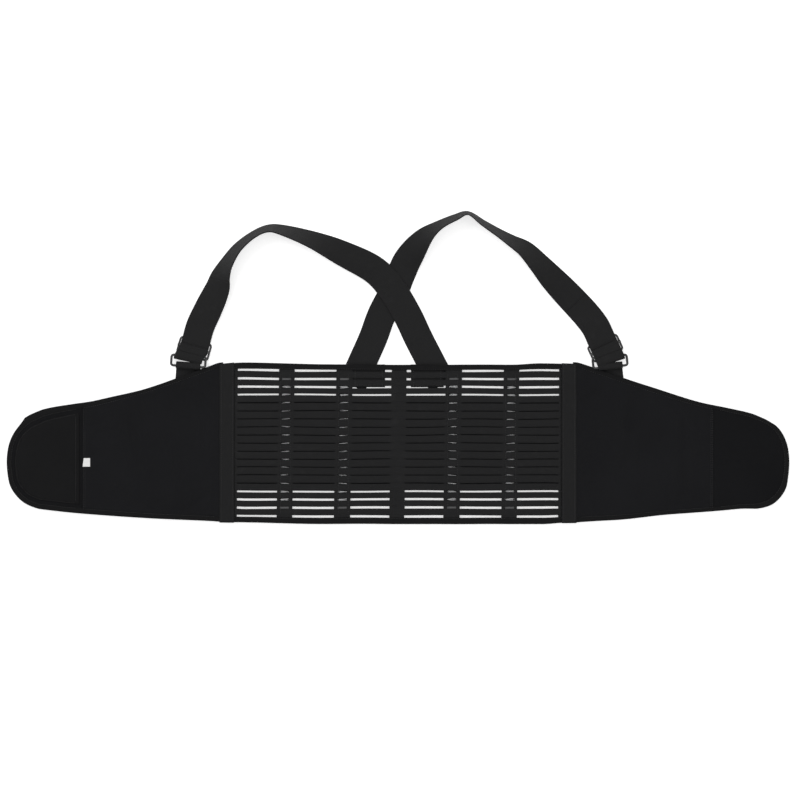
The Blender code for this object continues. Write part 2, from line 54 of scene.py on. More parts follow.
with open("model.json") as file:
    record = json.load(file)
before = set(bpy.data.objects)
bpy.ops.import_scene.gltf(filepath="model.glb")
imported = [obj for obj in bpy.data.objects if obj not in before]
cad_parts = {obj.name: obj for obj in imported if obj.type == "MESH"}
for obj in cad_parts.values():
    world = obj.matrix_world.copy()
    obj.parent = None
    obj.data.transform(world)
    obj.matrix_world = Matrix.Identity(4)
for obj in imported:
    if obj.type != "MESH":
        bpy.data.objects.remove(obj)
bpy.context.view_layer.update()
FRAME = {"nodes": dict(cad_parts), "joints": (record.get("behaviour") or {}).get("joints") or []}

# Places read from the frame
GAP = 0.0003
SIDES = (("left", -1), ("right", 1))
PANEL_LOW, PANEL_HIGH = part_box("back_panel")
SEAM_LOW, SEAM_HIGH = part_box("seam_tape_right")
WING_LOW, WING_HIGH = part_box("wing_right")
BAND_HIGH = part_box("lumbar_band")[1]
BELT_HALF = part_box("seam_core_right")[1].y + 0.002
SEAM = SEAM_HIGH.x + GAP / 2
BINDING_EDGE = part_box("panel_binding_top")[1].y
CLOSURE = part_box("wing_end_right")[0].x - GAP / 2
WING_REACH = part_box("end_binding_right")[1].x - SEAM
JOINTS = {joint["name"]: joint for joint in FRAME["joints"]}

# Shares of the wing's length and of half the belt's height, from the seam's top round to its foot
WING_EDGE = ((0.0, 1.0), (0.045, 0.967), (0.256, 0.777), (0.47, 0.6), (0.58, 0.521), (0.69, 0.464),
             (0.805, 0.397), (0.86, 0.345), (0.915, 0.27), (0.96, 0.152), (0.99, -0.02), (1.0, -0.24),
             (0.99, -0.47), (0.965, -0.61), (0.92, -0.73), (0.86, -0.8), (0.805, -0.822),
             (0.633, -0.868), (0.327, -0.929), (0.045, -0.966), (0.0, -0.975))
# Suspender routes: share of the way across, share of the rise, tilt in degrees
ROUTES = {
    "left": ((0.055, 0.183, 0), (0.104, 0.36, 0), (0.168, 0.543, 0), (0.247, 0.692, 6), (0.38, 0.812, 25),
             (0.512, 0.914, 50), (0.645, 0.988, 66), (0.712, 1.0, 72), (0.778, 0.95, 72), (0.845, 0.854, 67),
             (0.893, 0.735, 58), (0.919, 0.64, 43), (0.935, 0.543, 25), (0.974, 0.398, 7)),
    "right": ((0.047, 0.183, 0), (0.085, 0.36, 0), (0.14, 0.543, 0), (0.17, 0.67, 0), (0.2, 0.78, 12),
              (0.262, 0.93, 46), (0.327, 1.02, 68), (0.405, 1.085, 75), (0.46, 1.115, 80), (0.525, 1.04, 75),
              (0.592, 0.967, 70), (0.65, 0.905, 62), (0.71, 0.841, 50), (0.771, 0.731, 38),
              (0.822, 0.634, 24), (0.875, 0.539, 12), (0.928, 0.4435, 4), (0.974, 0.355, 0)),
}
ANCHORS = {"left": 0.046, "right": -0.05}
# How the belt lies: along X, how far its top edge is pushed up and its foot pulled down
TOP_LIE = ((-0.51, 0.005), (-0.417, 0.0013), (-0.35, -0.0026), (-0.27, -0.0008), (-0.215, 0.0034),
           (-0.11, 0.001), (0.0, 0.0), (0.16, 0.0003), (0.2, 0.0022), (0.27, 0.0006), (0.35, 0.0004),
           (0.45, -0.0016))
FOOT_LIE = ((-0.54, 0.0013), (-0.46, 0.0018), (-0.26, 0.0008), (-0.23, 0.0014), (-0.1, 0.0038), (0.2, 0.004),
            (0.235, 0.002), (0.3, 0.0014), (0.38, -0.002), (0.47, -0.0015), (0.54, 0.005))
STRAP_RISE = 0.186
BUTT = 0.00026          # stretched elastic taken this much nearer the piece it is sewn to
STRAP_TAIL = 0.036
STRAP_THICK = 0.0016
SLIDER_TOP = 0.0135     # slider's middle to where the webbing enters it
LOOSE_LOOP = 1.7        # how far past the ring's bar the loop's fold reaches, as a share of its radius
LOOSE_TAB = 1.9         # the same for the tab's fold
TWIST_ROWS = 22         # rows of webbing back from the turn, where a strap would start to follow its wing; the place found there is not used
STRAIGHT = 0.033        # slider's middle to where the webbing starts to bend, past its bar's travel
# Ladder elastic
ROW_PITCH = 0.0112
ROWS = int((2 * BELT_HALF - 0.007) / ROW_PITCH)
SLOT = 0.0028
WINDOWS = ((0.0105, 0.065), (0.088, 0.146), (0.168, 0.2245))
STAY_AT = (0.0765, 0.1575)
DASH_HALF = 0.0065


# ---------------------------------------------------------------- properties

def length(name, text, default, low=0.0, high=1.0):
    return bpy.props.FloatProperty(name=name, description=text, default=default, min=low, max=high,
                                   unit="LENGTH", subtype="DISTANCE", precision=4)


def colour(name, text, default):
    return bpy.props.FloatVectorProperty(name=name, description=text, default=default, size=3, min=0.0,
                                         max=1.0, subtype="COLOR")


class BraceSizes(bpy.types.PropertyGroup):
    """Sizes that can be changed without touching the frame."""
    binding: length("Binding", "Width of the folded edge binding", 0.0074, 0.003, 0.012)
    thread: length("Thread", "Thickness of the sewing thread", 0.0005, 0.0002, 0.001)
    stitch: length("Stitch", "Length of one stitch", 0.0024, 0.001, 0.005)
    stitch_pitch: length("Stitch pitch", "From one stitch to the next", 0.0032, 0.0015, 0.008)
    hook_pitch: length("Hook pitch", "From one hook to the next", 0.0019, 0.001, 0.004)
    coil_pitch: length("Coil pitch", "From one turn of a stay's wire to the next", 0.0019, 0.001, 0.004)
    coil_wire: length("Coil wire", "Radius of a stay's wire", 0.00042, 0.0002, 0.0006)
    rib_crown: length("Rib crown", "How far each band of the ladder elastic bulges", 0.00045, 0.0, 0.001)
    puff: length("Puff", "How far the foam fabric rises between its seams", 0.0009, 0.0, 0.003)


class BraceColours(bpy.types.PropertyGroup):
    """Base colours of the materials."""
    webbing: colour("Webbing", "Suspenders, loops and tabs", (0.0245, 0.0245, 0.0252))
    ladder: colour("Ladder elastic", "Open elastic of the back", (0.0248, 0.0248, 0.0256))
    band: colour("Band", "Outer elastic band and side pulls", (0.0232, 0.0232, 0.024))
    tape: colour("Tape", "Seam tapes and stay channels", (0.0215, 0.0215, 0.0222))
    foam: colour("Foam fabric", "Face of the wings", (0.0084, 0.0085, 0.0096))
    binding: colour("Binding", "Folded edge binding", (0.0105, 0.0105, 0.0112))
    hook: colour("Hook", "Moulded hook fabric", (0.0064, 0.0064, 0.0069))
    loop: colour("Loop", "Brushed loop fabric", (0.012, 0.012, 0.0128))
    thread: colour("Thread", "Sewing thread", (0.02, 0.02, 0.021))
    label: colour("Label", "Bare woven label", (0.86, 0.86, 0.85))
    steel: colour("Steel", "Wire of the stays", (0.8, 0.8, 0.81))
    cap: colour("Caps", "Plastic ends of the stays", (0.05, 0.05, 0.052))
    plastic: colour("Fittings", "Sliders and rings", (0.016, 0.016, 0.017))
    floor: colour("Floor", "Pale studio floor", (0.9, 0.9, 0.9))


def sizes():
    return bpy.context.scene.brace_sizes


def colours():
    return bpy.context.scene.brace_colours


# ---------------------------------------------------------------- materials

class Value:
    """A socket that Python's operators work on; each one adds a Math node."""

    def __init__(self, paint, socket):
        self.paint = paint
        self.socket = socket

    def __add__(self, other):
        return self.paint.math("ADD", self, other)

    def __sub__(self, other):
        return self.paint.math("SUBTRACT", self, other)

    def __rsub__(self, other):
        return self.paint.math("SUBTRACT", other, self)

    def __mul__(self, other):
        return self.paint.math("MULTIPLY", self, other)

    def __truediv__(self, other):
        return self.paint.math("DIVIDE", self, other)

    def __pow__(self, other):
        return self.paint.math("POWER", self, other)

    def __neg__(self):
        return self.paint.math("MULTIPLY", self, -1.0)

    def __rtruediv__(self, other):
        return self.paint.math("DIVIDE", other, self)

    def __rpow__(self, other):
        return self.paint.math("POWER", other, self)

    __radd__ = __add__
    __rmul__ = __mul__


class Paint:
    """One material and the nodes of its pattern."""

    def __init__(self, name, roughness, **constants):
        self.material = bpy.data.materials.new(name)
        self.material.use_nodes = True
        self.tree = self.material.node_tree
        self.shader = self.tree.nodes["Principled BSDF"]
        self.shader.inputs["Roughness"].default_value = roughness
        for socket, value in constants.items():
            self.shader.inputs[socket.replace("_", " ")].default_value = value

    def node(self, kind, settings=None, inputs=None, out=0):
        """Any node: its type, its settings, what goes into its sockets and the output wanted."""
        made = self.tree.nodes.new(kind)
        for key, value in (settings or {}).items():
            if key == "stops":
                ramp = made.color_ramp
                for at, shade in value[2:]:
                    ramp.elements.new(at).color = (*shade, 1.0)
                for element, (at, shade) in zip((ramp.elements[0], ramp.elements[-1]), value[:2]):
                    element.position = at
                    element.color = (*shade, 1.0)
            else:
                setattr(made, key, value)
        for key, value in (inputs or {}).items():
            if isinstance(value, Value):
                self.tree.links.new(value.socket, made.inputs[key])
            else:
                made.inputs[key].default_value = value
        return Value(self, made.outputs[out])

    def math(self, operation, *values):
        return self.node("ShaderNodeMath", {"operation": operation}, dict(enumerate(values)))

    def clamp(self, value):
        return self.node("ShaderNodeClamp", None, {"Value": value})

    def sine(self, value, pitch):
        """A wave from 0 to 1 that repeats every pitch."""
        return self.math("SINE", value * (2 * math.pi / pitch)) * 0.5 + 0.5

    def cloth(self):
        """Across and along the piece's own weave, in metres."""
        uv = self.node("ShaderNodeUVMap", {"uv_map": "cloth"})
        parts = self.tree.nodes.new("ShaderNodeSeparateXYZ")
        self.tree.links.new(uv.socket, parts.inputs[0])
        return uv, Value(self, parts.outputs[0]), Value(self, parts.outputs[1])

    def place(self):
        return self.node("ShaderNodeTexCoord", None, None, "Object")

    def noise(self, vector, scale, detail=2.0, rough=0.5):
        return self.node("ShaderNodeTexNoise", None,
                         {"Vector": vector, "Scale": scale, "Detail": detail, "Roughness": rough}, "Fac")

    def mix(self, share, one, two):
        """A colour between two colours, each a triple or a Value."""
        def shade(c):
            return c if isinstance(c, Value) else (*c, 1.0)
        made = self.tree.nodes.new("ShaderNodeMix")
        made.data_type = "RGBA"
        for index, value in ((0, share), (6, shade(one)), (7, shade(two))):
            if isinstance(value, Value):
                self.tree.links.new(value.socket, made.inputs[index])
            else:
                made.inputs[index].default_value = value
        return Value(self, made.outputs[2])

    def feed(self, socket, value):
        self.tree.links.new(value.socket, self.shader.inputs[socket])

    def bump(self, height, distance, strength=1.0):
        self.feed("Normal", self.node("ShaderNodeBump", None,
                                      {"Height": height, "Distance": distance, "Strength": strength}))


def shade(base, factor):
    return tuple(min(1.0, c * factor) for c in base)


def woven(name, base, across, along, relief, wear=0.25, roughness=0.82, sheen=0.03, twill=0.0):
    """A narrow weave: warp ribs across, weft picks along, uneven dye, painted shade in the hollows between
    threads and paler worn ribs.
    """
    paint = Paint(name, roughness, Sheen_Weight=sheen, Sheen_Roughness=0.45, Specular_IOR_Level=0.12)
    uv, u, v = paint.cloth()
    drift = (paint.noise(uv, 90.0, 3.0) - 0.5) * (across * 0.35)
    ribs = paint.sine(u + drift, across)
    picks = paint.sine(v + u * twill, along)
    threads = ribs * 0.6 + picks * ribs * 0.4
    fibre = paint.noise(uv, 2600.0, 2.0, 0.7)
    blotch = paint.noise(uv, 22.0, 4.0, 0.6)
    dyed = paint.mix(paint.clamp(blotch * 1.6 - 0.3), shade(base, 0.8), shade(base, 1.17))
    # painted shade: where the threads are low the colour falls to 0.55 of the base, as if shade lay in the
    # hollows
    high = paint.clamp(threads * 0.75 + fibre * 0.5 - 0.25)
    lit = paint.mix(high * 0.75, paint.mix(1.0, dyed, shade(base, 0.55)), dyed)
    worn = paint.clamp((paint.noise(uv, 48.0, 5.0, 0.65) - 0.56) * 5.0) * threads * wear
    paint.feed("Base Color", paint.mix(worn, lit, shade(base, 2.1)))
    paint.feed("Roughness", paint.clamp(roughness + (fibre - 0.5) * 0.2 - high * 0.06))
    paint.bump(threads + fibre * 0.35, relief, 0.8)
    return paint.material


def knit(name, base, pitch, relief, roughness=0.9, sheen=0.03):
    """A fine knit face: offset loops in rows, heathered, with painted highlight on the loops' crowns and
    faint pressed patches.
    """
    paint = Paint(name, roughness, Sheen_Weight=sheen, Sheen_Roughness=0.5, Specular_IOR_Level=0.1)
    uv, u, v = paint.cloth()
    warp = (paint.noise(uv, 60.0, 2.0) - 0.5) * (pitch * 0.8)
    wales = paint.sine(u + warp, pitch)
    courses = paint.sine(v + u * 0.5, pitch * 0.75)
    loops = wales * courses
    fibre = paint.noise(uv, 1900.0, 3.0, 0.7)
    blotch = paint.noise(uv, 9.0, 5.0, 0.55)
    tone = paint.mix(paint.clamp(blotch * 2.0 - 0.5), shade(base, 0.86), shade(base, 1.14))
    heather = paint.clamp((fibre - 0.42) * 2.2) * 0.5
    tone = paint.mix(heather, tone, shade(base, 1.6))
    # painted highlight: the crowns of the knit loops are lightened towards 1.5 times the base
    paint.feed("Base Color", paint.mix(loops * 0.35, tone, shade(base, 1.5)))
    paint.feed("Roughness", paint.clamp(roughness - blotch * 0.08 + (fibre - 0.5) * 0.1))
    paint.bump(loops + fibre * 0.6, relief, 0.7)
    return paint.material


def moulded(name, base, roughness, gloss_wear=0.2, metallic=0.0):
    """Moulded plastic or drawn wire: faint grain, cloudy tone and handling scratches."""
    paint = Paint(name, roughness, Metallic=metallic, Specular_IOR_Level=0.5)
    place = paint.place()
    grain = paint.noise(place, 900.0, 3.0, 0.6)
    cloudy = paint.noise(place, 60.0, 3.0)
    stretched = paint.node("ShaderNodeMapping", None, {"Vector": place, "Rotation": (0.0, 0.0, 0.5),
                                                       "Scale": (300.0, 3000.0, 300.0)})
    hair = paint.clamp((paint.noise(stretched, 1.0, 4.0, 0.7) - 0.6) * 6.0)
    tone = paint.mix(paint.clamp(cloudy * 1.5 - 0.25), shade(base, 0.85), shade(base, 1.15))
    paint.feed("Base Color", paint.mix(hair * gloss_wear, tone, shade(base, 2.0)))
    paint.feed("Roughness", paint.clamp(roughness + (grain - 0.5) * 0.12 + hair * 0.25))
    paint.bump(grain + hair * 0.6, 0.00003, 0.6)
    return paint.material


def brushed_loop(name, base):
    """Loop fabric: a soft nap with brushed direction and pulled tufts."""
    paint = Paint(name, 0.95, Sheen_Weight=0.12, Sheen_Roughness=0.6, Specular_IOR_Level=0.1)
    uv = paint.cloth()[0]
    tufts = paint.node("ShaderNodeTexVoronoi", {"feature": "F1"}, {"Vector": uv, "Scale": 900.0}, "Distance")
    nap = paint.noise(uv, 1400.0, 4.0, 0.75)
    brushed = paint.noise(uv, 26.0, 3.0, 0.6)
    tone = paint.mix(paint.clamp(nap * 1.8 - 0.4), shade(base, 0.6), shade(base, 1.5))
    paint.feed("Base Color", paint.mix(paint.clamp(brushed * 1.5 - 0.4), tone, shade(base, 1.25)))
    paint.bump(nap + (1 - tufts) * 0.7, 0.0004, 0.8)
    return paint.material


def pale_floor(name, base):
    """The studio floor, very slightly uneven."""
    paint = Paint(name, 0.9, Specular_IOR_Level=0.1, Emission_Strength=0.6)
    soft = paint.noise(paint.place(), 3.0, 2.0)
    tone = paint.mix(soft * 0.2, base, shade(base, 0.985))
    paint.feed("Base Color", tone)
    paint.feed("Emission Color", tone)
    return paint.material


def label_with_painted_glow(name, base):
    """Bare white label, given a faint glow of its own colour as painted light, so that it reads white beside
    black cloth.
    """
    material = woven(name, base, 0.0005, 0.0004, 0.00005, 0.05, 0.6, 0.1)
    shader = material.node_tree.nodes["Principled BSDF"]
    # painted glow: the label emits its own colour at strength 0.3, though it is no lamp
    shader.inputs["Emission Color"].default_value = (*base, 1.0)
    shader.inputs["Emission Strength"].default_value = 0.3
    return material


def finish(name):
    """A named finish of the brace, made when first asked for."""
    found = bpy.data.materials.get("brace " + name)
    if found:
        return found
    c = colours()
    title = "brace " + name
    makers = {
        "webbing": lambda: woven(title, c.webbing, 0.0016, 0.0008, 0.0002),
        "ladder": lambda: woven(title, c.ladder, 0.0012, 0.0007, 0.00022, 0.3, 0.85),
        "band": lambda: woven(title, c.band, 0.0025, 0.0009, 0.0003, 0.2, 0.84),
        "tape": lambda: woven(title, c.tape, 0.0009, 0.0009, 0.00012, 0.3, 0.8, 0.03, 1.0),
        "binding": lambda: woven(title, c.binding, 0.0007, 0.0006, 0.0001, 0.5, 0.78, 0.03, 0.6),
        "foam": lambda: knit(title, c.foam, 0.0011, 0.00012),
        "foam_end": lambda: knit(title, shade(c.foam, 0.74), 0.0011, 0.00012),
        "hook": lambda: knit(title, c.hook, 0.0016, 0.0002, 0.7, 0.02),
        "loop": lambda: brushed_loop(title, c.loop),
        "thread": lambda: moulded(title, c.thread, 0.6),
        "label": lambda: label_with_painted_glow(title, c.label),
        "steel": lambda: moulded(title, c.steel, 0.46, 0.1, 1.0),
        "cap": lambda: moulded(title, c.cap, 0.42),
        "plastic": lambda: moulded(title, c.plastic, 0.22, 0.35),
        "floor": lambda: pale_floor(title, c.floor),
    }
    return makers[name]()


# ---------------------------------------------------------------- shapes

def smooth(points, steps):
    """A smooth curve through points, with the given steps between each two."""
    ends = [points[0]] + list(points) + [points[-1]]
    curve = []
    for i in range(len(points) - 1):
        a, b, c, d = (Vector(p) for p in ends[i:i + 4])
        for k in range(steps):
            t = k / steps
            curve.append(0.5 * (2 * b + (c - a) * t + (2 * a - 5 * b + 4 * c - d) * t * t
                                + (3 * b - a - 3 * c + d) * t ** 3))
    curve.append(Vector(points[-1]))
    return curve


def ease(share):
    share = min(max(share, 0.0), 1.0)
    return share * share * (3 - 2 * share)


def spaced(line, pitch, closed=False):
    """Points every pitch along a line, with its ends kept."""
    line = np.array([tuple(p) for p in line], float)
    if closed:
        line = np.vstack([line, line[:1]])
    reach = np.concatenate([[0.0], np.cumsum(np.linalg.norm(np.diff(line, axis=0), axis=1))])
    count = max(2, int(round(reach[-1] / pitch)) + 1)
    at = np.linspace(0.0, reach[-1], count)
    made = np.stack([np.interp(at, reach, line[:, k]) for k in range(line.shape[1])], axis=1)
    return made[:-1] if closed else made


def directions(line, closed=False):
    """The unit direction of a line at each of its points."""
    if closed:
        step = np.roll(line, -1, axis=0) - np.roll(line, 1, axis=0)
    else:
        step = np.gradient(line, axis=0)
    return step / np.maximum(np.linalg.norm(step, axis=1, keepdims=True), 1e-12)


def piece(name, points, faces, uv, material):
    """A closed mesh from its points, faces and weave coordinates, with its faces turned outwards."""
    mesh = bpy.data.meshes.new(name)
    mesh.from_pydata([tuple(p) for p in points], [], [tuple(f) for f in faces])
    form = bmesh.new()
    form.from_mesh(mesh)
    bmesh.ops.recalc_face_normals(form, faces=form.faces)
    form.to_mesh(mesh)
    form.free()
    layer = mesh.uv_layers.new(name="cloth")
    corner = np.empty(len(mesh.loops), dtype=np.int32)
    mesh.loops.foreach_get("vertex_index", corner)
    layer.data.foreach_set("uv", np.asarray(uv, np.float32)[corner].ravel())
    mesh.polygons.foreach_set("use_smooth", [True] * len(mesh.polygons))
    mesh.materials.append(finish(material))
    item = bpy.data.objects.new(name, mesh)
    bpy.context.scene.collection.objects.link(item)
    return item


def joined(name, items):
    """Several pieces as one mesh."""
    form = bmesh.new()
    mesh = bpy.data.meshes.new(name)
    slots = []
    for item in items:
        part = item.data
        for material in part.materials:
            if material not in slots:
                slots.append(material)
        before = len(form.faces)
        form.from_mesh(part)
        form.faces.ensure_lookup_table()
        for face in form.faces[before:]:
            face.material_index = slots.index(part.materials[face.material_index])
        bpy.data.objects.remove(item)
    form.to_mesh(mesh)
    form.free()
    for material in slots:
        mesh.materials.append(material)
    result = bpy.data.objects.new(name, mesh)
    bpy.context.scene.collection.objects.link(result)
    return result


def flat_ends(item, count):
    """Keeps the last faces of a piece, its cut ends, from being shaded round."""
    total = len(item.data.polygons)
    for face in item.data.polygons[total - count:]:
        face.use_smooth = False
    return item


def sweep(name, middle, across, up, section, material, closed=False, start=0.0):
    """A section, as (across, up) points, carried along a line of places."""
    middle, across, up = (np.asarray(a, float) for a in (middle, across, up))
    section = np.asarray(section, float)
    if section.ndim == 2:
        section = np.repeat(section[None], len(middle), axis=0)
    rows, n = section.shape[:2]
    points = middle[:, None] + across[:, None] * section[..., :1] + up[:, None] * section[..., 1:]
    along = start + np.concatenate([[0.0], np.cumsum(np.linalg.norm(np.diff(middle, axis=0), axis=1))])
    uv = np.stack([section[..., 0], np.repeat(along[:, None], n, axis=1)], axis=-1)
    faces = []
    for i in range(rows if closed else rows - 1):
        j = (i + 1) % rows
        for k in range(n):
            m = (k + 1) % n
            faces.append((i * n + k, i * n + m, j * n + m, j * n + k))
    if not closed:
        faces.append(tuple(range(n)))
        faces.append(tuple((rows - 1) * n + k for k in range(n)))
    item = piece(name, points.reshape(-1, 3), faces, uv.reshape(-1, 2), material)
    return item if closed else flat_ends(item, 2)


def flat_section(width, thick, parts=10, crown=0.0, groove=0.0):
    """Webbing cut across: two faces, rounded edges, and a line pressed in beside each edge."""
    radius = thick / 2
    reach = width / 2 - radius
    xs = [reach * (2 * k / parts - 1) for k in range(parts + 1)]
    if groove:
        line = width / 2 - 0.0022
        xs = sorted(xs + [s * (line + d) for s in (-1, 1) for d in (-0.0006, 0.0, 0.0006)])
    top = []
    for x in xs:
        dip = groove * max(0.0, 1 - abs(abs(x) - (width / 2 - 0.0022)) / 0.0006) if groove else 0.0
        top.append((x, radius + crown * (1 - (2 * x / width) ** 2) - dip))
    side = [(reach + radius * math.cos(math.radians(a)), radius * math.sin(math.radians(a)))
            for a in (50, 0, -50)]
    return top + side + [(x, -z if groove else -radius) for x, z in reversed(top)] + [
        (-x, z) for x, z in reversed(side)]


def round_section(width, thick, corner, steps=3):
    """A bar cut across: a rectangle with rounded corners."""
    loop = []
    for cx, cz, start in ((1, 1, 0), (-1, 1, 90), (-1, -1, 180), (1, -1, 270)):
        for k in range(steps + 1):
            a = math.radians(start + 90 * k / steps)
            loop.append((cx * (width / 2 - corner) + corner * math.cos(a),
                         cz * (thick / 2 - corner) + corner * math.sin(a)))
    return loop


def strip(name, line, up, section, material, closed=False, start=0.0):
    """A sweep whose directions come from its line and the way up."""
    line = np.asarray(line, float)
    ahead = directions(line, closed)
    up = np.broadcast_to(np.asarray(up, float), line.shape)
    across = np.cross(ahead, up)
    across /= np.linalg.norm(across, axis=1, keepdims=True)
    above = np.cross(across, ahead)
    return sweep(name, line, across, above, section, material, closed, start)


def slab(name, size, middle, material, corner=0.0003, parts=(24, 24)):
    """A thin block with rounded edges and an even grid of faces above and below."""
    half = np.array(size) / 2
    section = flat_section(2 * half[1], 2 * half[2], parts[1])
    xs = np.concatenate([[-half[0], -half[0] + corner], np.linspace(-half[0], half[0], parts[0] + 1)[1:-1],
                         [half[0] - corner, half[0]]])
    rows = []
    for x in xs:
        pinch = 1.0 - 0.4 * max(0.0, (abs(x) - (half[0] - corner)) / corner)
        rows.append([(y * (1 - 0.4 * (1 - pinch) * corner / half[1]), z * pinch) for y, z in section])
    centre = np.array(middle, float)
    line = centre + np.outer(xs, (1, 0, 0))
    across = np.tile((0, 1, 0), (len(xs), 1))
    above = np.tile((0, 0, 1), (len(xs), 1))
    return sweep(name, line, across, above, rows, material)


# ---------------------------------------------------------------- things that repeat

def input_named(tree, name):
    return next(s.identifier for s in tree.interface.items_tree if s.name == name and s.in_out == "INPUT")


def link_nodes(tree, *pairs):
    for one, two in pairs:
        tree.links.new(one, two)


def set_out_tree():
    """Sets a piece out on a guide's points, turned and sized by the guide's attributes."""
    name = "set out"
    if name in bpy.data.node_groups:
        return bpy.data.node_groups[name]
    tree = bpy.data.node_groups.new(name, "GeometryNodeTree")
    for title, kind in (("Guide", "Geometry"), ("Piece", "Object"), ("Finish", "Material"),
                        ("Unevenness", "Float"), ("Seed", "Int")):
        tree.interface.new_socket(title, in_out="INPUT", socket_type="NodeSocket" + kind)
    tree.interface.new_socket("Pieces", in_out="OUTPUT", socket_type="NodeSocketGeometry")
    new = tree.nodes.new
    start, end = new("NodeGroupInput"), new("NodeGroupOutput")
    named = {}
    for title in ("along", "up", "size"):
        named[title] = new("GeometryNodeInputNamedAttribute")
        named[title].data_type = "FLOAT_VECTOR"
        named[title].inputs["Name"].default_value = title
    turn = new("FunctionNodeAxesToRotation")
    turn.primary_axis = "X"
    turn.secondary_axis = "Z"
    least, most = new("ShaderNodeMath"), new("ShaderNodeMath")
    least.operation = "SUBTRACT"
    most.operation = "ADD"
    least.inputs[0].default_value = most.inputs[0].default_value = 1.0
    vary = new("FunctionNodeRandomValue")
    vary.data_type = "FLOAT"
    size = new("ShaderNodeVectorMath")
    size.operation = "SCALE"
    source = new("GeometryNodeObjectInfo")
    source.inputs["As Instance"].default_value = True
    place = new("GeometryNodeInstanceOnPoints")
    real = new("GeometryNodeRealizeInstances")
    paint = new("GeometryNodeSetMaterial")
    link_nodes(
        tree, (start.outputs["Piece"], source.inputs["Object"]),
        (start.outputs["Unevenness"], least.inputs[1]), (start.outputs["Unevenness"], most.inputs[1]),
        (least.outputs[0], vary.inputs[2]), (most.outputs[0], vary.inputs[3]),
        (start.outputs["Seed"], vary.inputs["Seed"]),
        (named["size"].outputs[0], size.inputs[0]), (vary.outputs[1], size.inputs["Scale"]),
        (named["along"].outputs[0], turn.inputs["Primary Axis"]),
        (named["up"].outputs[0], turn.inputs["Secondary Axis"]),
        (start.outputs["Guide"], place.inputs["Points"]),
        (source.outputs["Geometry"], place.inputs["Instance"]),
        (turn.outputs[0], place.inputs["Rotation"]), (size.outputs[0], place.inputs["Scale"]),
        (place.outputs[0], real.inputs[0]), (real.outputs[0], paint.inputs["Geometry"]),
        (start.outputs["Finish"], paint.inputs["Material"]), (paint.outputs[0], end.inputs["Pieces"]))
    return tree


def coil_tree():
    """Flattened spirals of wire, one at each point of a guide."""
    name = "wire coils"
    if name in bpy.data.node_groups:
        return bpy.data.node_groups[name]
    tree = bpy.data.node_groups.new(name, "GeometryNodeTree")
    for title, kind in (("Guide", "Geometry"), ("Finish", "Material"), ("Turns", "Float"),
                        ("Radius", "Float"), ("Length", "Float"), ("Flatness", "Float"), ("Wire", "Float")):
        tree.interface.new_socket(title, in_out="INPUT", socket_type="NodeSocket" + kind)
    tree.interface.new_socket("Coils", in_out="OUTPUT", socket_type="NodeSocketGeometry")
    new = tree.nodes.new
    start, end = new("NodeGroupInput"), new("NodeGroupOutput")
    spiral = new("GeometryNodeCurveSpiral")
    spiral.inputs["Resolution"].default_value = 14
    half = new("ShaderNodeMath")
    half.operation = "MULTIPLY"
    half.inputs[1].default_value = -0.5
    shift, flat = new("ShaderNodeCombineXYZ"), new("ShaderNodeCombineXYZ")
    flat.inputs[0].default_value = 1.0
    flat.inputs[2].default_value = 1.0
    centre, lay = new("GeometryNodeTransform"), new("GeometryNodeTransform")
    lay.inputs["Rotation"].default_value = (-math.pi / 2, 0.0, 0.0)
    ring = new("GeometryNodeCurvePrimitiveCircle")
    ring.inputs["Resolution"].default_value = 6
    tube = new("GeometryNodeCurveToMesh")
    tube.inputs["Fill Caps"].default_value = True
    place = new("GeometryNodeInstanceOnPoints")
    real = new("GeometryNodeRealizeInstances")
    paint = new("GeometryNodeSetMaterial")
    link_nodes(
        tree, (start.outputs["Turns"], spiral.inputs["Rotations"]),
        (start.outputs["Radius"], spiral.inputs["Start Radius"]),
        (start.outputs["Radius"], spiral.inputs["End Radius"]),
        (start.outputs["Length"], spiral.inputs["Height"]), (start.outputs["Length"], half.inputs[0]),
        (half.outputs[0], shift.inputs[2]), (start.outputs["Flatness"], flat.inputs[1]),
        (spiral.outputs[0], centre.inputs["Geometry"]), (shift.outputs[0], centre.inputs["Translation"]),
        (flat.outputs[0], centre.inputs["Scale"]), (centre.outputs[0], lay.inputs["Geometry"]),
        (start.outputs["Wire"], ring.inputs["Radius"]), (lay.outputs[0], tube.inputs["Curve"]),
        (ring.outputs[0], tube.inputs["Profile Curve"]), (start.outputs["Guide"], place.inputs["Points"]),
        (tube.outputs[0], place.inputs["Instance"]), (place.outputs[0], real.inputs[0]),
        (real.outputs[0], paint.inputs["Geometry"]), (start.outputs["Finish"], paint.inputs["Material"]),
        (paint.outputs[0], end.inputs["Coils"]))
    return tree


def grown(name, tree, points, values, attributes=None):
    """Runs a tree on a guide of loose points and returns the plain mesh piece it makes."""
    mesh = bpy.data.meshes.new(name + " guide")
    mesh.from_pydata([tuple(p) for p in points], [], [])
    for title, rows in (attributes or {}).items():
        layer = mesh.attributes.new(title, "FLOAT_VECTOR", "POINT")
        layer.data.foreach_set("vector", np.asarray(rows, np.float32).ravel())
    guide = bpy.data.objects.new(name + " guide", mesh)
    bpy.context.scene.collection.objects.link(guide)
    modifier = guide.modifiers.new("grow", "NODES")
    modifier.node_group = tree
    for title, value in values.items():
        modifier[input_named(tree, title)] = value
    graph = bpy.context.evaluated_depsgraph_get()
    result = bpy.data.meshes.new_from_object(guide.evaluated_get(graph), depsgraph=graph)
    result.name = name
    guide.modifiers.clear()
    bpy.data.objects.remove(guide)
    item = bpy.data.objects.new(name, result)
    bpy.context.scene.collection.objects.link(item)
    return item


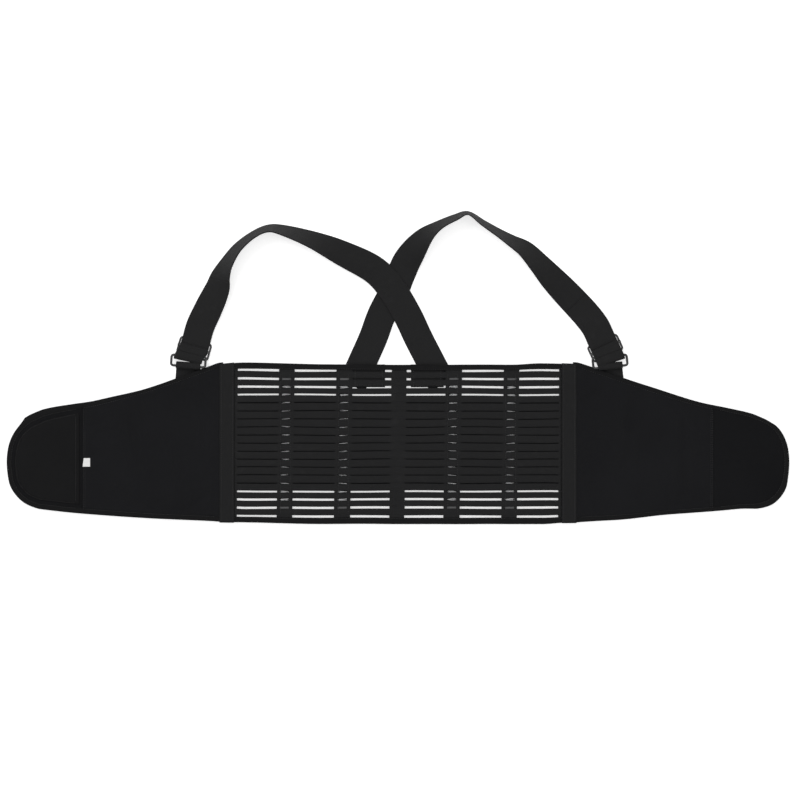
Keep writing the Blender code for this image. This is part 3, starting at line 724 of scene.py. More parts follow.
def set_out(name, source, points, along, up, size, material, uneven=0.0, seed=1):
    """Copies of a source piece on points; the source is then removed."""
    count = len(points)
    attributes = {title: np.broadcast_to(np.asarray(rows, float), (count, 3))
                  for title, rows in (("along", along), ("up", up), ("size", size))}
    item = grown(name, set_out_tree(), points, {"Piece": source, "Finish": finish(material),
                                                "Unevenness": uneven, "Seed": seed}, attributes)
    bpy.data.objects.remove(source)
    item.data.polygons.foreach_set("use_smooth", [True] * len(item.data.polygons))
    return item


def one_stitch():
    """A single stitch of thread along X, its ends dipping into the cloth."""
    long, thick = sizes().stitch, sizes().thread
    xs = np.array([-0.5, -0.3, 0.0, 0.3, 0.5]) * long
    drop = np.array([-0.9, -0.12, 0.12, -0.12, -0.9]) * thick
    width = np.array([0.55, 0.95, 1.0, 0.95, 0.55]) * thick / 2
    line = np.stack([xs, np.zeros(5), drop], axis=1)
    ring = np.array([(math.cos(a), math.sin(a)) for a in (2 * math.pi * k / 6 for k in range(6))])
    return strip("stitch", line, (0, 0, 1), ring[None] * width[:, None, None], "thread")


class Sewing:
    """Collects the stitches of each body and makes one mesh of them."""

    rows = {}

    @classmethod
    def row(cls, body, line, up=(0, 0, 1), skip=None):
        """A row of stitches along a line; up is the side it shows on."""
        at = spaced(line, sizes().stitch_pitch)
        ahead = directions(at)
        side = np.broadcast_to(np.asarray(up, float), at.shape)
        keep = np.array([skip is None or not skip(p) for p in at])
        cls.rows.setdefault(body, []).append((at[keep], ahead[keep], side[keep]))

    @classmethod
    def sew(cls):
        made = []
        for index, (body, parts) in enumerate(sorted(cls.rows.items())):
            at, ahead, side = (np.vstack(group) for group in zip(*parts))
            at = lie(at)
            made.append((body, set_out(f"stitches_{body}", one_stitch(), at, ahead, side, (1, 1, 1),
                                       "thread", 0.08, 11 + index)))
        cls.rows.clear()
        return made


# ---------------------------------------------------------------- outlines

def wing_edge(side, steps=8):
    """The wing's free edge, from the top of the seam round the tip to its foot."""
    points = [(SEAM + GAP / 2 + u * (WING_REACH - GAP / 2), v * BELT_HALF) for u, v in WING_EDGE]
    return [Vector((side * p.x, p.y)) for p in smooth(points, steps)]


def inset(line, distance):
    """An open line moved sideways, to the right of its own direction."""
    moved = []
    for i, point in enumerate(line):
        along = (line[min(i + 1, len(line) - 1)] - line[max(i - 1, 0)]).normalized()
        moved.append(Vector((point.x + along.y * distance, point.y - along.x * distance)))
    return moved


def clip(shape, x, sign):
    """The part of a closed outline where sign times X is more than x."""
    kept = []
    for a, b in zip(shape, shape[1:] + shape[:1]):
        a_in, b_in = sign * a.x >= x, sign * b.x >= x
        if a_in:
            kept.append(a)
        if a_in != b_in:
            kept.append(a.lerp(b, (sign * x - a.x) / (b.x - a.x)))
    return [p for p, q in zip(kept, kept[1:] + kept[:1]) if (p - q).length > 1e-5]


def lead_in(line, side, reach):
    """A wing line carried straight on past the seam at both ends."""
    back = Vector((-side * reach, 0.0))
    return [line[0] + back] + line + [line[-1] + back]


def border_distance(points, outline):
    """How far each point is from an outline's nearest side."""
    a = np.array([tuple(p) for p in outline])
    b = np.roll(a, -1, axis=0)
    ab = b - a
    ap = points[:, None] - a[None]
    t = np.clip((ap * ab).sum(-1) / np.maximum((ab * ab).sum(-1), 1e-12), 0, 1)
    return np.linalg.norm(ap - t[..., None] * ab, axis=-1).min(axis=1)


def inside(points, outline):
    """Which points lie inside an outline."""
    a = np.array([tuple(p) for p in outline])
    b = np.roll(a, -1, axis=0)
    x, y = points[:, :1], points[:, 1:]
    crosses = (a[:, 1] > y) != (b[:, 1] > y)
    with np.errstate(divide="ignore", invalid="ignore"):
        at = (b[:, 0] - a[:, 0]) * (y - a[:, 1]) / (b[:, 1] - a[:, 1]) + a[:, 0]
    return (crosses & (x < at)).sum(axis=1) % 2 == 1


def pillow(name, outline, low, high, material, pitch=0.004, fine=()):
    """A closed piece of cloth or foam over an outline; low and high give its two faces' heights."""
    border = spaced(outline, pitch * 0.85, closed=True)
    box_low, box_high = border.min(axis=0), border.max(axis=0)
    xs = np.arange(box_low[0], box_high[0], pitch)
    columns = []
    for start, end, step in fine:
        xs = xs[(xs < start - pitch * 0.4) | (xs > end + pitch * 0.4)]
        columns.append(np.arange(start, end + step / 2, step))
    xs = np.sort(np.concatenate([xs, *columns]))
    ys = np.arange(box_low[1], box_high[1], pitch * 0.9)
    grid = np.array([(x, y + (i % 2) * pitch * 0.45) for i, x in enumerate(xs) for y in ys])
    grid = grid[inside(grid, border)]
    grid = grid[border_distance(grid, border) > pitch * 0.45]
    flat = np.vstack([border, grid])
    found = geometry.delaunay_2d_cdt([Vector(p) for p in flat], [], [list(range(len(border)))], 1, 1e-7)
    at = np.array([tuple(p) for p in found[0]])
    triangles = [tuple(face) for face in found[2]]
    n = len(at)
    far = border_distance(at, border)
    top = np.column_stack([at, high(at, far)])
    bottom = np.column_stack([at, low(at, far)])
    edges = {}
    for face in triangles:
        for a, b in zip(face, face[1:] + face[:1]):
            edges[a, b] = True
    faces = list(triangles) + [tuple(n + k for k in reversed(face)) for face in triangles]
    rim = [(a, b) for a, b in edges if (b, a) not in edges]
    faces += [(b, a, n + a, n + b) for a, b in rim]
    item = piece(name, np.vstack([top, bottom]), faces, np.vstack([at, at]), material)
    return item, sorted({v for a, b in rim for v in (a, b, n + a, n + b)})


def ripple(at, seed, size, amount):
    """Gentle unevenness over a flat piece."""
    spots = [Vector((x / size + seed * 7.3, y / size, seed * 3.1)) for x, y in at]
    return np.array([noise.noise(spot) for spot in spots]) * amount


def crease(at, start, end, width, depth):
    """A soft fold pressed in along a line, fading out at its ends."""
    a, b = np.array(start), np.array(end)
    along = (b - a) / np.linalg.norm(b - a)
    t = ((at - a) @ along) / np.linalg.norm(b - a)
    off = np.abs((at - a) @ np.array((-along[1], along[0])))
    fade = np.clip(np.minimum(t + 0.15, 1.15 - t) / 0.35, 0, 1)
    return -depth * np.exp(-(off / width) ** 2) * fade + 0.45 * depth * np.exp(
        -((off - 2 * width) / (1.2 * width)) ** 2) * fade


def settle(item, pinned, pressure, spare, cap, top_only=None):
    """Lets the cloth of a padded piece puff and pucker between its seams, then keeps the shape."""
    scene = bpy.context.scene
    group = item.vertex_groups.new(name="sewn")
    group.add(pinned, 1.0, "REPLACE")
    modifier = item.modifiers.new("settle", "CLOTH")
    cloth = modifier.settings
    cloth.vertex_group_mass = "sewn"
    cloth.use_pressure = True
    cloth.uniform_pressure_force = pressure
    cloth.shrink_min = -spare
    cloth.quality = 6
    cloth.mass = 0.2
    cloth.tension_stiffness = 20
    cloth.compression_stiffness = 20
    cloth.shear_stiffness = 8
    cloth.bending_stiffness = 0.6
    cloth.effector_weights.gravity = 0.0
    modifier.collision_settings.use_collision = False
    modifier.point_cache.frame_start = 1
    modifier.point_cache.frame_end = 20
    for frame in range(1, 21):
        scene.frame_set(frame)
    graph = bpy.context.evaluated_depsgraph_get()
    moved = item.evaluated_get(graph).data
    after = np.empty(len(moved.vertices) * 3)
    moved.vertices.foreach_get("co", after)
    before = np.empty(len(item.data.vertices) * 3)
    item.data.vertices.foreach_get("co", before)
    step = (after - before).reshape(-1, 3)
    far = np.linalg.norm(step, axis=1, keepdims=True)
    step *= cap * np.tanh(far / cap) / np.maximum(far, 1e-9)
    if top_only is not None:
        step[top_only:, 2] *= 0.25
    item.modifiers.clear()
    item.vertex_groups.clear()
    scene.frame_set(1)
    item.data.vertices.foreach_set("co", before + step.ravel())
    item.data.update()


def eased(x, table):
    """Smooth steps between the places of a table."""
    at = np.array([a for a, b in table])
    values = np.array([b for a, b in table])
    left = np.clip(np.searchsorted(at, x) - 1, 0, len(at) - 2)
    share = np.clip((x - at[left]) / (at[left + 1] - at[left]), 0, 1)
    return values[left] + (values[left + 1] - values[left]) * share * share * (3 - 2 * share)


def lie(points):
    """Moves points of the belt from its even outline to how it lies."""
    points = np.array(points, float)
    x, y = points[:, 0], points[:, 1]
    tip = next(i for i, (u, v) in enumerate(WING_EDGE) if u == 1.0)
    u = np.clip((np.abs(x) - SEAM) / WING_REACH, 0, 1)
    upper, lower = WING_EDGE[:tip], WING_EDGE[:tip:-1]
    top = BELT_HALF * np.interp(u, [a for a, b in upper], [b for a, b in upper])
    foot = BELT_HALF * np.interp(u, [a for a, b in lower], [b for a, b in lower])
    top = np.where(u > 0, np.maximum(top, 0.03), BINDING_EDGE)
    foot = np.where(u > 0, np.minimum(foot, -0.03), -BINDING_EDGE)
    points[:, 1] += eased(x, TOP_LIE) * np.clip(y / top, 0, 1) ** 8
    points[:, 1] -= eased(x, FOOT_LIE) * np.clip(y / foot, 0, 1) ** 8
    return points


# ---------------------------------------------------------------- back

def drift(points):
    """The stretched back runs a little askew from its top to its foot."""
    points = np.array(points, float)
    fade = np.clip((PANEL_HIGH.x - np.abs(points[:, 0])) / 0.01, 0.0, 1)
    points[:, 0] += 0.002 * points[:, 1] / BELT_HALF * fade
    return points


def sway(points):
    """Moves points of the stretched ladder elastic a little out of line, as the real bands lie."""
    points = drift(points)
    for p in points:
        spot = Vector((p[0] / 0.085, p[1] / 0.03, 1.7))
        fade = min(1.0, (PANEL_HIGH.y - abs(p[1])) / 0.012, (PANEL_HIGH.x - abs(p[0])) / 0.02 + 0.25)
        p[1] += 0.0011 * noise.noise(spot) * max(fade, 0.0)
        p[2] += 0.00018 * noise.noise(spot * 2.3)
    return points


def shift_points(item, mover):
    count = len(item.data.vertices)
    at = np.empty(count * 3)
    item.data.vertices.foreach_get("co", at)
    item.data.vertices.foreach_set("co", mover(at.reshape(-1, 3)).ravel())
    item.data.update()
    return item


def ladder_panel():
    """Bands of ladder elastic set out down the back, with the closed bridges between them."""
    width = ROW_PITCH - SLOT
    middle = (PANEL_LOW.z + PANEL_HIGH.z) / 2
    thick = PANEL_HIGH.z - PANEL_LOW.z - 2 * sizes().rib_crown
    reach = PANEL_HIGH.x + BUTT
    xs = np.linspace(-reach, reach, 154)
    line = np.stack([xs, np.zeros_like(xs), np.zeros_like(xs)], axis=1)
    crown = sizes().rib_crown
    section = flat_section(width, thick, 6, crown)
    section = [(a, b if b > 0 else b * (1 + crown / thick)) for a, b in section]
    band = strip("band", line, (0, 0, 1), section, "ladder")
    count = ROWS - 1
    at = [(0.0, (k - (count - 1) / 2) * ROW_PITCH, middle) for k in range(count)]
    shut = [(1.0, 1.0 + 0.2 * ease((BAND_HIGH.y + 0.004 - abs(y)) / 0.012), 1.0) for x, y, z in at]
    bands = set_out("bands", band, at, (1, 0, 0), (0, 0, 1), shut, "ladder")
    edge_pieces = []
    inner = (ROWS - 1) / 2 * ROW_PITCH + SLOT / 2
    wide = PANEL_HIGH.y - inner
    for side in (-1, 1):
        lay = line + np.array((0.0, side * (inner + wide / 2), middle))
        border = flat_section(wide, thick, 4, crown)
        edge_pieces.append(strip(f"edge {side}", lay, (0, 0, 1), border, "ladder"))
    closed = [(0.0, WINDOWS[0][0])]
    for (a, b), (c, d), stay in zip(WINDOWS, WINDOWS[1:], STAY_AT):
        closed += [(b, stay - DASH_HALF), (stay + DASH_HALF, c)]
    closed.append((WINDOWS[-1][1], reach))
    spots, scales = [], []
    for row in range(ROWS):
        y = (row - (ROWS - 1) / 2) * ROW_PITCH
        zones = closed + ([(s - DASH_HALF, s + DASH_HALF) for s in STAY_AT] if row in (0, ROWS - 1) else [])
        for a, b in zones:
            for side in (-1, 1):
                if a == 0.0 and side < 0:
                    continue
                x, wide_x = (0.0, 2 * b) if a == 0.0 else (side * (a + b) / 2, b - a)
                spots.append((x, y, middle))
                scales.append((wide_x, SLOT + 0.0014, thick * 0.82))
    bridge = slab("bridge", (1.0, 1.0, 1.0), (0, 0, 0), "ladder", 0.03, (4, 2))
    bridges = set_out("bridges", bridge, spots, (1, 0, 0), (0, 0, 1), scales, "ladder")
    uv = bridges.data.uv_layers["cloth"] if "cloth" in bridges.data.uv_layers else bridges.data.uv_layers.new(
        name="cloth")
    planar_uv(bridges, uv)
    panel = joined("ladder_elastic", [bands, bridges, *edge_pieces])
    planar_uv(panel, panel.data.uv_layers["cloth"], turned=True)
    shift_points(panel, sway)
    shift_points(panel, lie)
    panel.data.polygons.foreach_set("use_smooth", [True] * len(panel.data.polygons))
    return panel


def planar_uv(item, layer, turned=False):
    """Weave coordinates straight from X and Y."""
    mesh = item.data
    at = np.empty(len(mesh.vertices) * 3)
    mesh.vertices.foreach_get("co", at)
    corner = np.empty(len(mesh.loops), dtype=np.int32)
    mesh.loops.foreach_get("vertex_index", corner)
    flat = at.reshape(-1, 3)[corner][:, :2]
    layer.data.foreach_set("uv", (flat[:, ::-1] if turned else flat).astype(np.float32).ravel())


def folded_tape(name, line, up, wide, high, material, start=0.0):
    """Binding: a tape folded round an edge, a touch thicker at the fold, its edges turned to the cloth."""
    half = high / 2
    section = [(-wide / 2, half * 0.78), (-wide * 0.38, half * 0.93), (-wide * 0.15, half),
               (wide * 0.15, half), (wide * 0.36, half * 0.9), (wide * 0.46, half * 0.55), (wide / 2, 0.0)]
    section += [(a, -b) for a, b in section[-2::-1]]
    return strip(name, line, up, section, material, start=start)


def back_pieces():
    belt = "belt"
    panel = ladder_panel()
    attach(panel, belt)
    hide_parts("back_panel")
    wide = sizes().binding
    for word, side in (("top", 1), ("bottom", -1)):
        low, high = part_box(f"panel_binding_{word}")
        xs = np.linspace(high.x, low.x, 150) * side
        y = side * (BINDING_EDGE - wide / 2)
        z = (low.z + high.z) / 2
        line = [(x, y + 0.0003 * noise.noise(Vector((x / 0.05, side, 0.3))), z) for x in xs]
        tape = folded_tape(f"binding_{word}", line, (0, 0, 1), wide, high.z - low.z, "binding")
        shift_points(tape, lie)
        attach(tape, belt)
        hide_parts(f"panel_binding_{word}")
        inner = side * (BINDING_EDGE - wide + 0.0012)
        Sewing.row(belt, [(-SEAM_LOW.x, inner, high.z + 0.0001), (SEAM_LOW.x, inner, high.z + 0.0001)])
    for word, side in SIDES:
        low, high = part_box(f"seam_tape_{word}")
        centre = (low + high) / 2
        ys = np.linspace(low.y, high.y, 70)
        wander = [0.0004 * noise.noise(Vector((0.0, y / 0.04, side * 2.1))) for y in ys]
        line = [(centre.x + w, y, centre.z) for y, w in zip(ys, wander)]
        section = flat_section(high.x - low.x - 0.0008, high.z - low.z, 12, 0.00012, 0.00018)
        tape = strip(f"seam_cover_{word}", line, (0, 0, 1), section, "tape")
        shift_points(tape, lie)
        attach(tape, belt)
        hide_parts(f"seam_tape_{word}")
        for offset in (-0.0078, 0.0078):
            Sewing.row(belt, [(x + offset, y, high.z + 0.00002) for x, y, z in line[1:-1]])
        low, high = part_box(f"seam_core_{word}")
        near, far = (low.x, high.x - 0.0055) if side > 0 else (low.x + 0.0055, high.x)
        core = slab(f"seam_fold_{word}", (far - near, high.y - low.y, high.z - low.z),
                    ((near + far) / 2, centre.y, (low.z + high.z) / 2), "foam", 0.001, (4, 40))
        shift_points(core, lie)
        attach(core, belt)
        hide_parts(f"seam_core_{word}")


def band_pieces():
    """Outer elastic band, its free pulls and their hook ends."""
    for name, body in (("lumbar_band", "belt"), ("side_pull_left", "left_pull"),
                       ("side_pull_right", "right_pull")):
        low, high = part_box(name)
        size = high - low
        reach = BUTT if body == "belt" else 0.0
        xs = np.linspace(low.x - reach, high.x + reach, int(size.x / 0.0025) + 2)
        line = [(x, 0.0, (low.z + high.z) / 2) for x in xs]
        section = flat_section(size.y, size.z, 60, 0.0, 0.0002)
        item = strip(f"{name}_elastic", line, (0, 0, 1), section, "band")
        turn_uv(item)
        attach(item, body)
        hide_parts(name)
    for word, side in SIDES:
        low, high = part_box(f"pull_tab_{word}")
        x0, x1 = (low.x, high.x) if side > 0 else (high.x, low.x)
        y = high.y
        cut = 0.012
        outline = [(x0, -y), (x1 - side * cut, -y), (x1, -y + cut), (x1, y - cut), (x1 - side * cut, y),
                   (x0, y)]
        outline = [Vector(p) for p in outline]
        base = low.z + 0.0003
        tab = pillow(f"pull_tab_{word}_cloth", outline, lambda at, far: base - 0 * far,
                     lambda at, far: high.z - 0.0003 * np.exp(-far / 0.001), "hook", 0.004)[0]
        body = f"{word}_pull"
        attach(tab, body)
        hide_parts(f"pull_tab_{word}")
        polygon_area(outline)
        hooks = hook_field(f"pull_hooks_{word}", outline, base + 0.00001, -1, 0.0026)
        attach(hooks, body)
        for inset_x in (0.002, 0.0045):
            x = x0 + side * inset_x
            Sewing.row(body, [(x, -y + 0.003, high.z), (x, y - 0.003, high.z)])


def turn_uv(item):
    """Turns the weave a quarter, so that its ribs run along the piece."""
    layer = item.data.uv_layers["cloth"]
    uv = np.empty(len(layer.data) * 2, np.float32)
    layer.data.foreach_get("uv", uv)
    layer.data.foreach_set("uv", uv.reshape(-1, 2)[:, ::-1].ravel())


def one_hook():
    """A moulded hook: a stem bent over at its top."""
    points = [(0.0, 0.0), (0.0, 0.45), (0.1, 0.78), (0.34, 0.9), (0.52, 0.68)]
    line = np.array([(x, 0.0, z) for x, z in points])
    width = np.array([0.2, 0.15, 0.14, 0.12, 0.05])
    ring = np.array([(1, 1), (-1, 1), (-1, -1), (1, -1)]) * 0.6
    return strip("hook", line, (0, 1, 0), ring[None] * width[:, None, None], "hook")


def hook_field(name, outline, height, way, pitch=None):
    """Rows of small hooks over an outline, standing up or down."""
    pitch = pitch or sizes().hook_pitch
    shape = np.array([tuple(p) for p in outline])
    low, high = shape.min(axis=0), shape.max(axis=0)
    spots = [(x + (j % 2) * pitch / 2, y) for j, y in enumerate(np.arange(low[1], high[1], pitch * 0.9))
             for x in np.arange(low[0], high[0], pitch)]
    spots = np.array(spots)
    spots = spots[inside(spots, outline)]
    spots = spots[border_distance(spots, outline) > 0.0015]
    at = np.column_stack([spots, np.full(len(spots), height)])
    rows = np.round((spots[:, 1] - low[1]) / (pitch * 0.9)).astype(int)
    along = np.stack([np.where(rows % 2, 1.0, -1.0), np.zeros(len(spots)), np.zeros(len(spots))], axis=1)
    tall = 0.0009
    return set_out(name, one_hook(), at, along, (0, 0, way), (tall, tall, tall), "hook", 0.12, 5)


def stay_pieces():
    """Wire coils, their plastic ends, and the tapes behind them."""
    boxes = [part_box(f"stay_{k}") for k in (1, 2, 3, 4)]
    size = boxes[0][1] - boxes[0][0]
    middle = [(low + high) / 2 for low, high in boxes]
    wire = sizes().coil_wire
    coils = grown("stay_coils", coil_tree(), middle, {
        "Finish": finish("steel"), "Turns": float(round(size.y / sizes().coil_pitch)),
        "Radius": size.x / 2 - wire, "Length": size.y - 2 * wire,
        "Flatness": (size.z / 2 - wire) / (size.x / 2 - wire), "Wire": wire})
    coils.data.polygons.foreach_set("use_smooth", [True] * len(coils.data.polygons))
    shift_points(coils, drift)
    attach(coils, "belt")
    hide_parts(*[f"stay_{k}" for k in (1, 2, 3, 4)])
    caps, tapes = [], []
    for k in (1, 2, 3, 4):
        for end, way in (("upper", 1), ("lower", -1)):
            low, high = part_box(f"stay_cap_{k}_{end}")
            size = high - low
            ys = np.linspace(low.y, high.y, 13)[::way]
            share = np.linspace(0.0, 1.0, 13)
            taper = np.sqrt(np.clip(1 - ((share - 0.55) / 0.47).clip(0, 0.97) ** 2, 0.05, 1))
            section = np.array(round_section(size.x, size.z, size.z * 0.42))
            rows = [section * np.array((t, 0.75 + 0.25 * t)) for t in taper]
            line = [((low.x + high.x) / 2, y, (low.z + high.z) / 2) for y in ys]
            caps.append(strip("cap", line, (0, 0, 1), np.array(rows), "cap"))
        low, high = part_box(f"stay_channel_{k}")
        line = [((low.x + high.x) / 2, y, (low.z + high.z) / 2) for y in np.linspace(low.y, high.y, 80)]
        section = flat_section(high.x - low.x, high.z - low.z, 6)
        tapes.append(strip("channel", line, (0, 0, 1), section, "tape"))
        for side in (-1, 1):
            x = (low.x + high.x) / 2 + side * 0.0069
            z = PANEL_HIGH.z + 0.0001
            Sewing.row("belt", [(x, low.y + 0.004, z), (x, high.y - 0.004, z)])
    for name, items, slot, kind in (("stay_ends", caps, "cap_plastic", "stay_cap"),
                                    ("stay_channel_tapes", tapes, "tape", "stay_channel")):
        item = shift_points(joined(name, items), drift)
        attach(item, "belt")
        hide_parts(*[n for n in FRAME["nodes"] if n.startswith(kind)])
    low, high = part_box("centre_tape")
    ys = np.linspace(low.y, high.y, 80)
    centre = strip("centre_strip", [(0.0, y, (low.z + high.z) / 2) for y in ys], (0, 0, 1),
                   flat_section(high.x - low.x, high.z - low.z, 8), "tape")
    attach(centre, "belt")
    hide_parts("centre_tape")


# ---------------------------------------------------------------- wings

def fold_blend(item, word, side):
    """Bakes the placement of a piece at the wing's fold into its points."""
    reach = 0.0055
    side * (SEAM - reach)
    side * (SEAM + reach)
    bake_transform(item)


def end_blend(item, word, side):
    """Bakes the placement of a piece at the closure seam into its points."""
    side * CLOSURE
    side * (CLOSURE + 0.008)
    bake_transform(item)


def wing_pieces():
    wide = sizes().binding
    puff = sizes().puff
    bottom, top = WING_LOW.z, WING_HIGH.z
    folds = {"left": (((-0.378, 0.060), (-0.366, -0.02), 0.0045, 0.0011),
                      ((-0.270, 0.081), (-0.272, 0.0), 0.0035, 0.0008),
                      ((-0.33, 0.02), (-0.30, -0.07), 0.006, 0.0006)),
             "right": (((0.4, 0.03), (0.404, -0.055), 0.005, 0.0007),
                       ((0.33, 0.05), (0.318, -0.05), 0.006, 0.0006))}
    for word, side in SIDES:
        edge = wing_edge(side)
        shape = lead_in(edge, side, 0.02)
        core = inset(shape, side * wide * 0.55)
        seam_hidden = SEAM - 0.0055

        def high(at, far, word=word, side=side):
            z = top - 0.0011 * np.exp(-far / 0.0025) + puff * (1 - np.exp(-far / 0.03)) * 0.4
            z = z + ripple(at, 1.0 + side, 0.07, 0.0007) + ripple(at, 4.0 + side, 0.025, 0.00022)
            for start, end, width, depth in folds[word]:
                z = z + crease(at, start, end, width, depth)
            tuck = np.clip((np.abs(at[:, 0]) - (SEAM - 0.0005)) / 0.012, 0, 1)
            tuck = tuck * tuck * (3 - 2 * tuck)
            closing = np.clip(np.abs(np.abs(at[:, 0]) - CLOSURE) / 0.01, 0, 1) ** 0.5
            under = top - 0.00035
            sewn = top - 0.0007
            z = np.minimum(z, top + 0.0016)
            z = sewn + (z - sewn) * closing
            return under + (z - under) * tuck

        def low(at, far, side=side):
            return bottom + 0.0009 * np.exp(-far / 0.002) + np.abs(ripple(at, 9.0 + side, 0.05, 0.0002))

        for kind, outline in (("wing", clip(clip(core, seam_hidden, side), -CLOSURE, -side)),
                              ("wing_end", clip(core, CLOSURE, side))):
            fine = [(seam_hidden + 0.001, SEAM + 0.007, 0.0014)] if kind == "wing" else [
                (CLOSURE + 0.0015, CLOSURE + 0.0095, 0.0015)]
            if side < 0:
                fine = [(-b, -a, c) for a, b, c in fine]
            look = "foam" if kind == "wing" else "foam_end"
            item, rim = pillow(f"{kind}_{word}_foam", outline, low, high, look, 0.0042, fine)
            count = len(item.data.vertices) // 2
            at = np.empty(2 * count * 3)
            item.data.vertices.foreach_get("co", at)
            at = np.abs(at.reshape(-1, 3)[:, 0])
            sewn = [k for k in range(2 * count) if at[k] < SEAM + 0.009 or abs(at[k] - CLOSURE) < 0.0085]
            rise = 0.0009 if kind == "wing" else 0.0002
            settle(item, sorted(set(rim) | set(sewn)), 0.22, 0.012, rise, count)
            shift_points(item, lie)
            0.35 if kind == "wing" else 0.3
            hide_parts(f"{kind}_{word}")
            (fold_blend if kind == "wing" else end_blend)(item, word, side)
        wing_bindings(word, side, edge, wide)
    closure_pieces()


def wing_bindings(word, side, edge, wide):
    low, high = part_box(f"wing_binding_{word}_top")
    middle = (low.z + high.z) / 2
    centre = inset(lead_in(edge, side, 0.0055), side * wide / 2)
    at = spaced([(p.x, p.y) for p in centre], 0.0022)
    inner = np.abs(at[:, 0]) <= CLOSURE
    turn = np.argmax(~inner)
    back = len(at) - np.argmax(~inner[::-1])

    def cut(a, b):
        share = (side * CLOSURE - a[0]) / (b[0] - a[0])
        return a + (b - a) * share

    first, last = cut(at[turn - 1], at[turn]), cut(at[back - 1], at[back])
    parts = {f"wing_binding_{word}_top": np.vstack([at[:turn], first]),
             f"end_binding_{word}": np.vstack([first, at[turn:back], last]),
             f"wing_binding_{word}_foot": np.vstack([last, at[back:]])}
    for name, line in parts.items():
        heights = [middle + 0.00025 * noise.noise(Vector((x / 0.03, y / 0.03, 5.0))) for x, y in line]
        line = np.column_stack([line, heights])
        item = folded_tape(name + "_tape", line, (0, 0, side), wide, high.z - low.z, "binding")
        shift_points(item, lambda p: lie(under_tape(p)))
        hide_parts(name)
        (end_blend if name.startswith("end") else fold_blend)(item, word, side)
    row = inset(edge, side * (wide - 0.0012))
    row = [(p.x, p.y, high.z + 0.00002) for p in row]
    hidden = CLOSURE
    Sewing.row(f"{word}_wing", row, skip=lambda p: abs(p[0]) > hidden - 0.001 or abs(p[0]) < SEAM + 0.007)
    Sewing.row(f"{word}_end", row, skip=lambda p: abs(p[0]) < hidden + 0.009)


def under_tape(points):
    """Keeps what runs under a seam tape below it."""
    points = np.array(points)
    share = np.clip((np.abs(points[:, 0]) - (SEAM - 0.0002)) / 0.012, 0, 1)
    limit = SEAM_LOW.z - 0.0002 + (0.004 * share * share * (3 - 2 * share))
    points[:, 2] = np.minimum(points[:, 2], limit)
    return points


def closure_pieces():
    """Hook pad, loop pad and the bare label, with their stitching."""
    for word, side, node, material, slot in (("left", -1, "hook_pad_left", "hook", "hook_fabric"),
                                             ("right", 1, "loop_pad_right", "loop", "loop_fabric")):
        low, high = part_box(node)
        edge = inset(wing_edge(side), side * 0.0112)
        start = min(abs(low.x), abs(high.x))
        outline = clip(edge, start, side)
        if side < 0:
            base, top = low.z - 0.0007, low.z + 0.0006
        else:
            base, top = low.z, high.z
        pad = pillow(f"{node}_cloth", outline,
                     lambda at, far, z=base: z + 0.0002 * np.exp(-far / 0.0008),
                     lambda at, far, z=top: (z - 0.0003 * np.exp(-far / 0.0008)
                                             + ripple(at, 6.0, 0.04, 0.00025)),
                     material, 0.0035)[0]
        shift_points(pad, lie)
        area = polygon_area(outline)
        body = f"{word}_end"
        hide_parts(node)
        end_blend(pad, word, side)
        if side < 0:
            hooks = shift_points(hook_field("closure_hooks", outline, top - 0.0001, 1), lie)
            end_blend(hooks, word, side)
        seam_line = [p for p in inset(edge, side * 0.0016)]
        height = top + 0.0001 if side < 0 else base
        up = (0, 0, 1) if side < 0 else (0, 0, -1)
        Sewing.row(body, [(p.x, p.y, height) for p in seam_line if abs(p.x) > start + 0.006], up)
        x = side * (start + 0.0055)
        ends = [p.y for p in clip(inset(edge, side * 0.002), start + 0.005, side)]
        Sewing.row(body, [(x, max(ends) - 0.004, height), (x, min(ends) + 0.004, height)], up)
        edge_y = [p.y for p in clip(inset(wing_edge(side), side * 0.009), CLOSURE - 0.003, side) if
                  abs(p.x) < CLOSURE]
        for offset in (0.0012, 0.0034):
            Sewing.row(f"{word}_wing", [(side * (CLOSURE - offset), max(edge_y), WING_HIGH.z - 0.00045),
                                        (side * (CLOSURE - offset), min(edge_y), WING_HIGH.z - 0.00045)])
    low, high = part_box("label")
    centre = (low + high) / 2
    label = slab("bare_label", tuple(high - low), (centre.x, centre.y, centre.z + 0.0001), "label", 0.0003,
                 (10, 10))
    lean = 0.12

    def sew_in(points):
        points = np.array(points)
        points[:, 0] += lean * (points[:, 1] - low.y) * (high.x - points[:, 0]) / (high.x - low.x)
        points[:, 2] += 0.0009 * np.clip((points[:, 0] - low.x) / (high.x - low.x), 0, 1) ** 2
        return points

    shift_points(label, sew_in)
    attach(label, "left_wing")
    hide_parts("label")


def polygon_area(outline):
    return abs(sum(a.x * b.y - b.x * a.y for a, b in zip(outline, outline[1:] + outline[:1]))) / 2


# ---------------------------------------------------------------- suspenders and adjusters

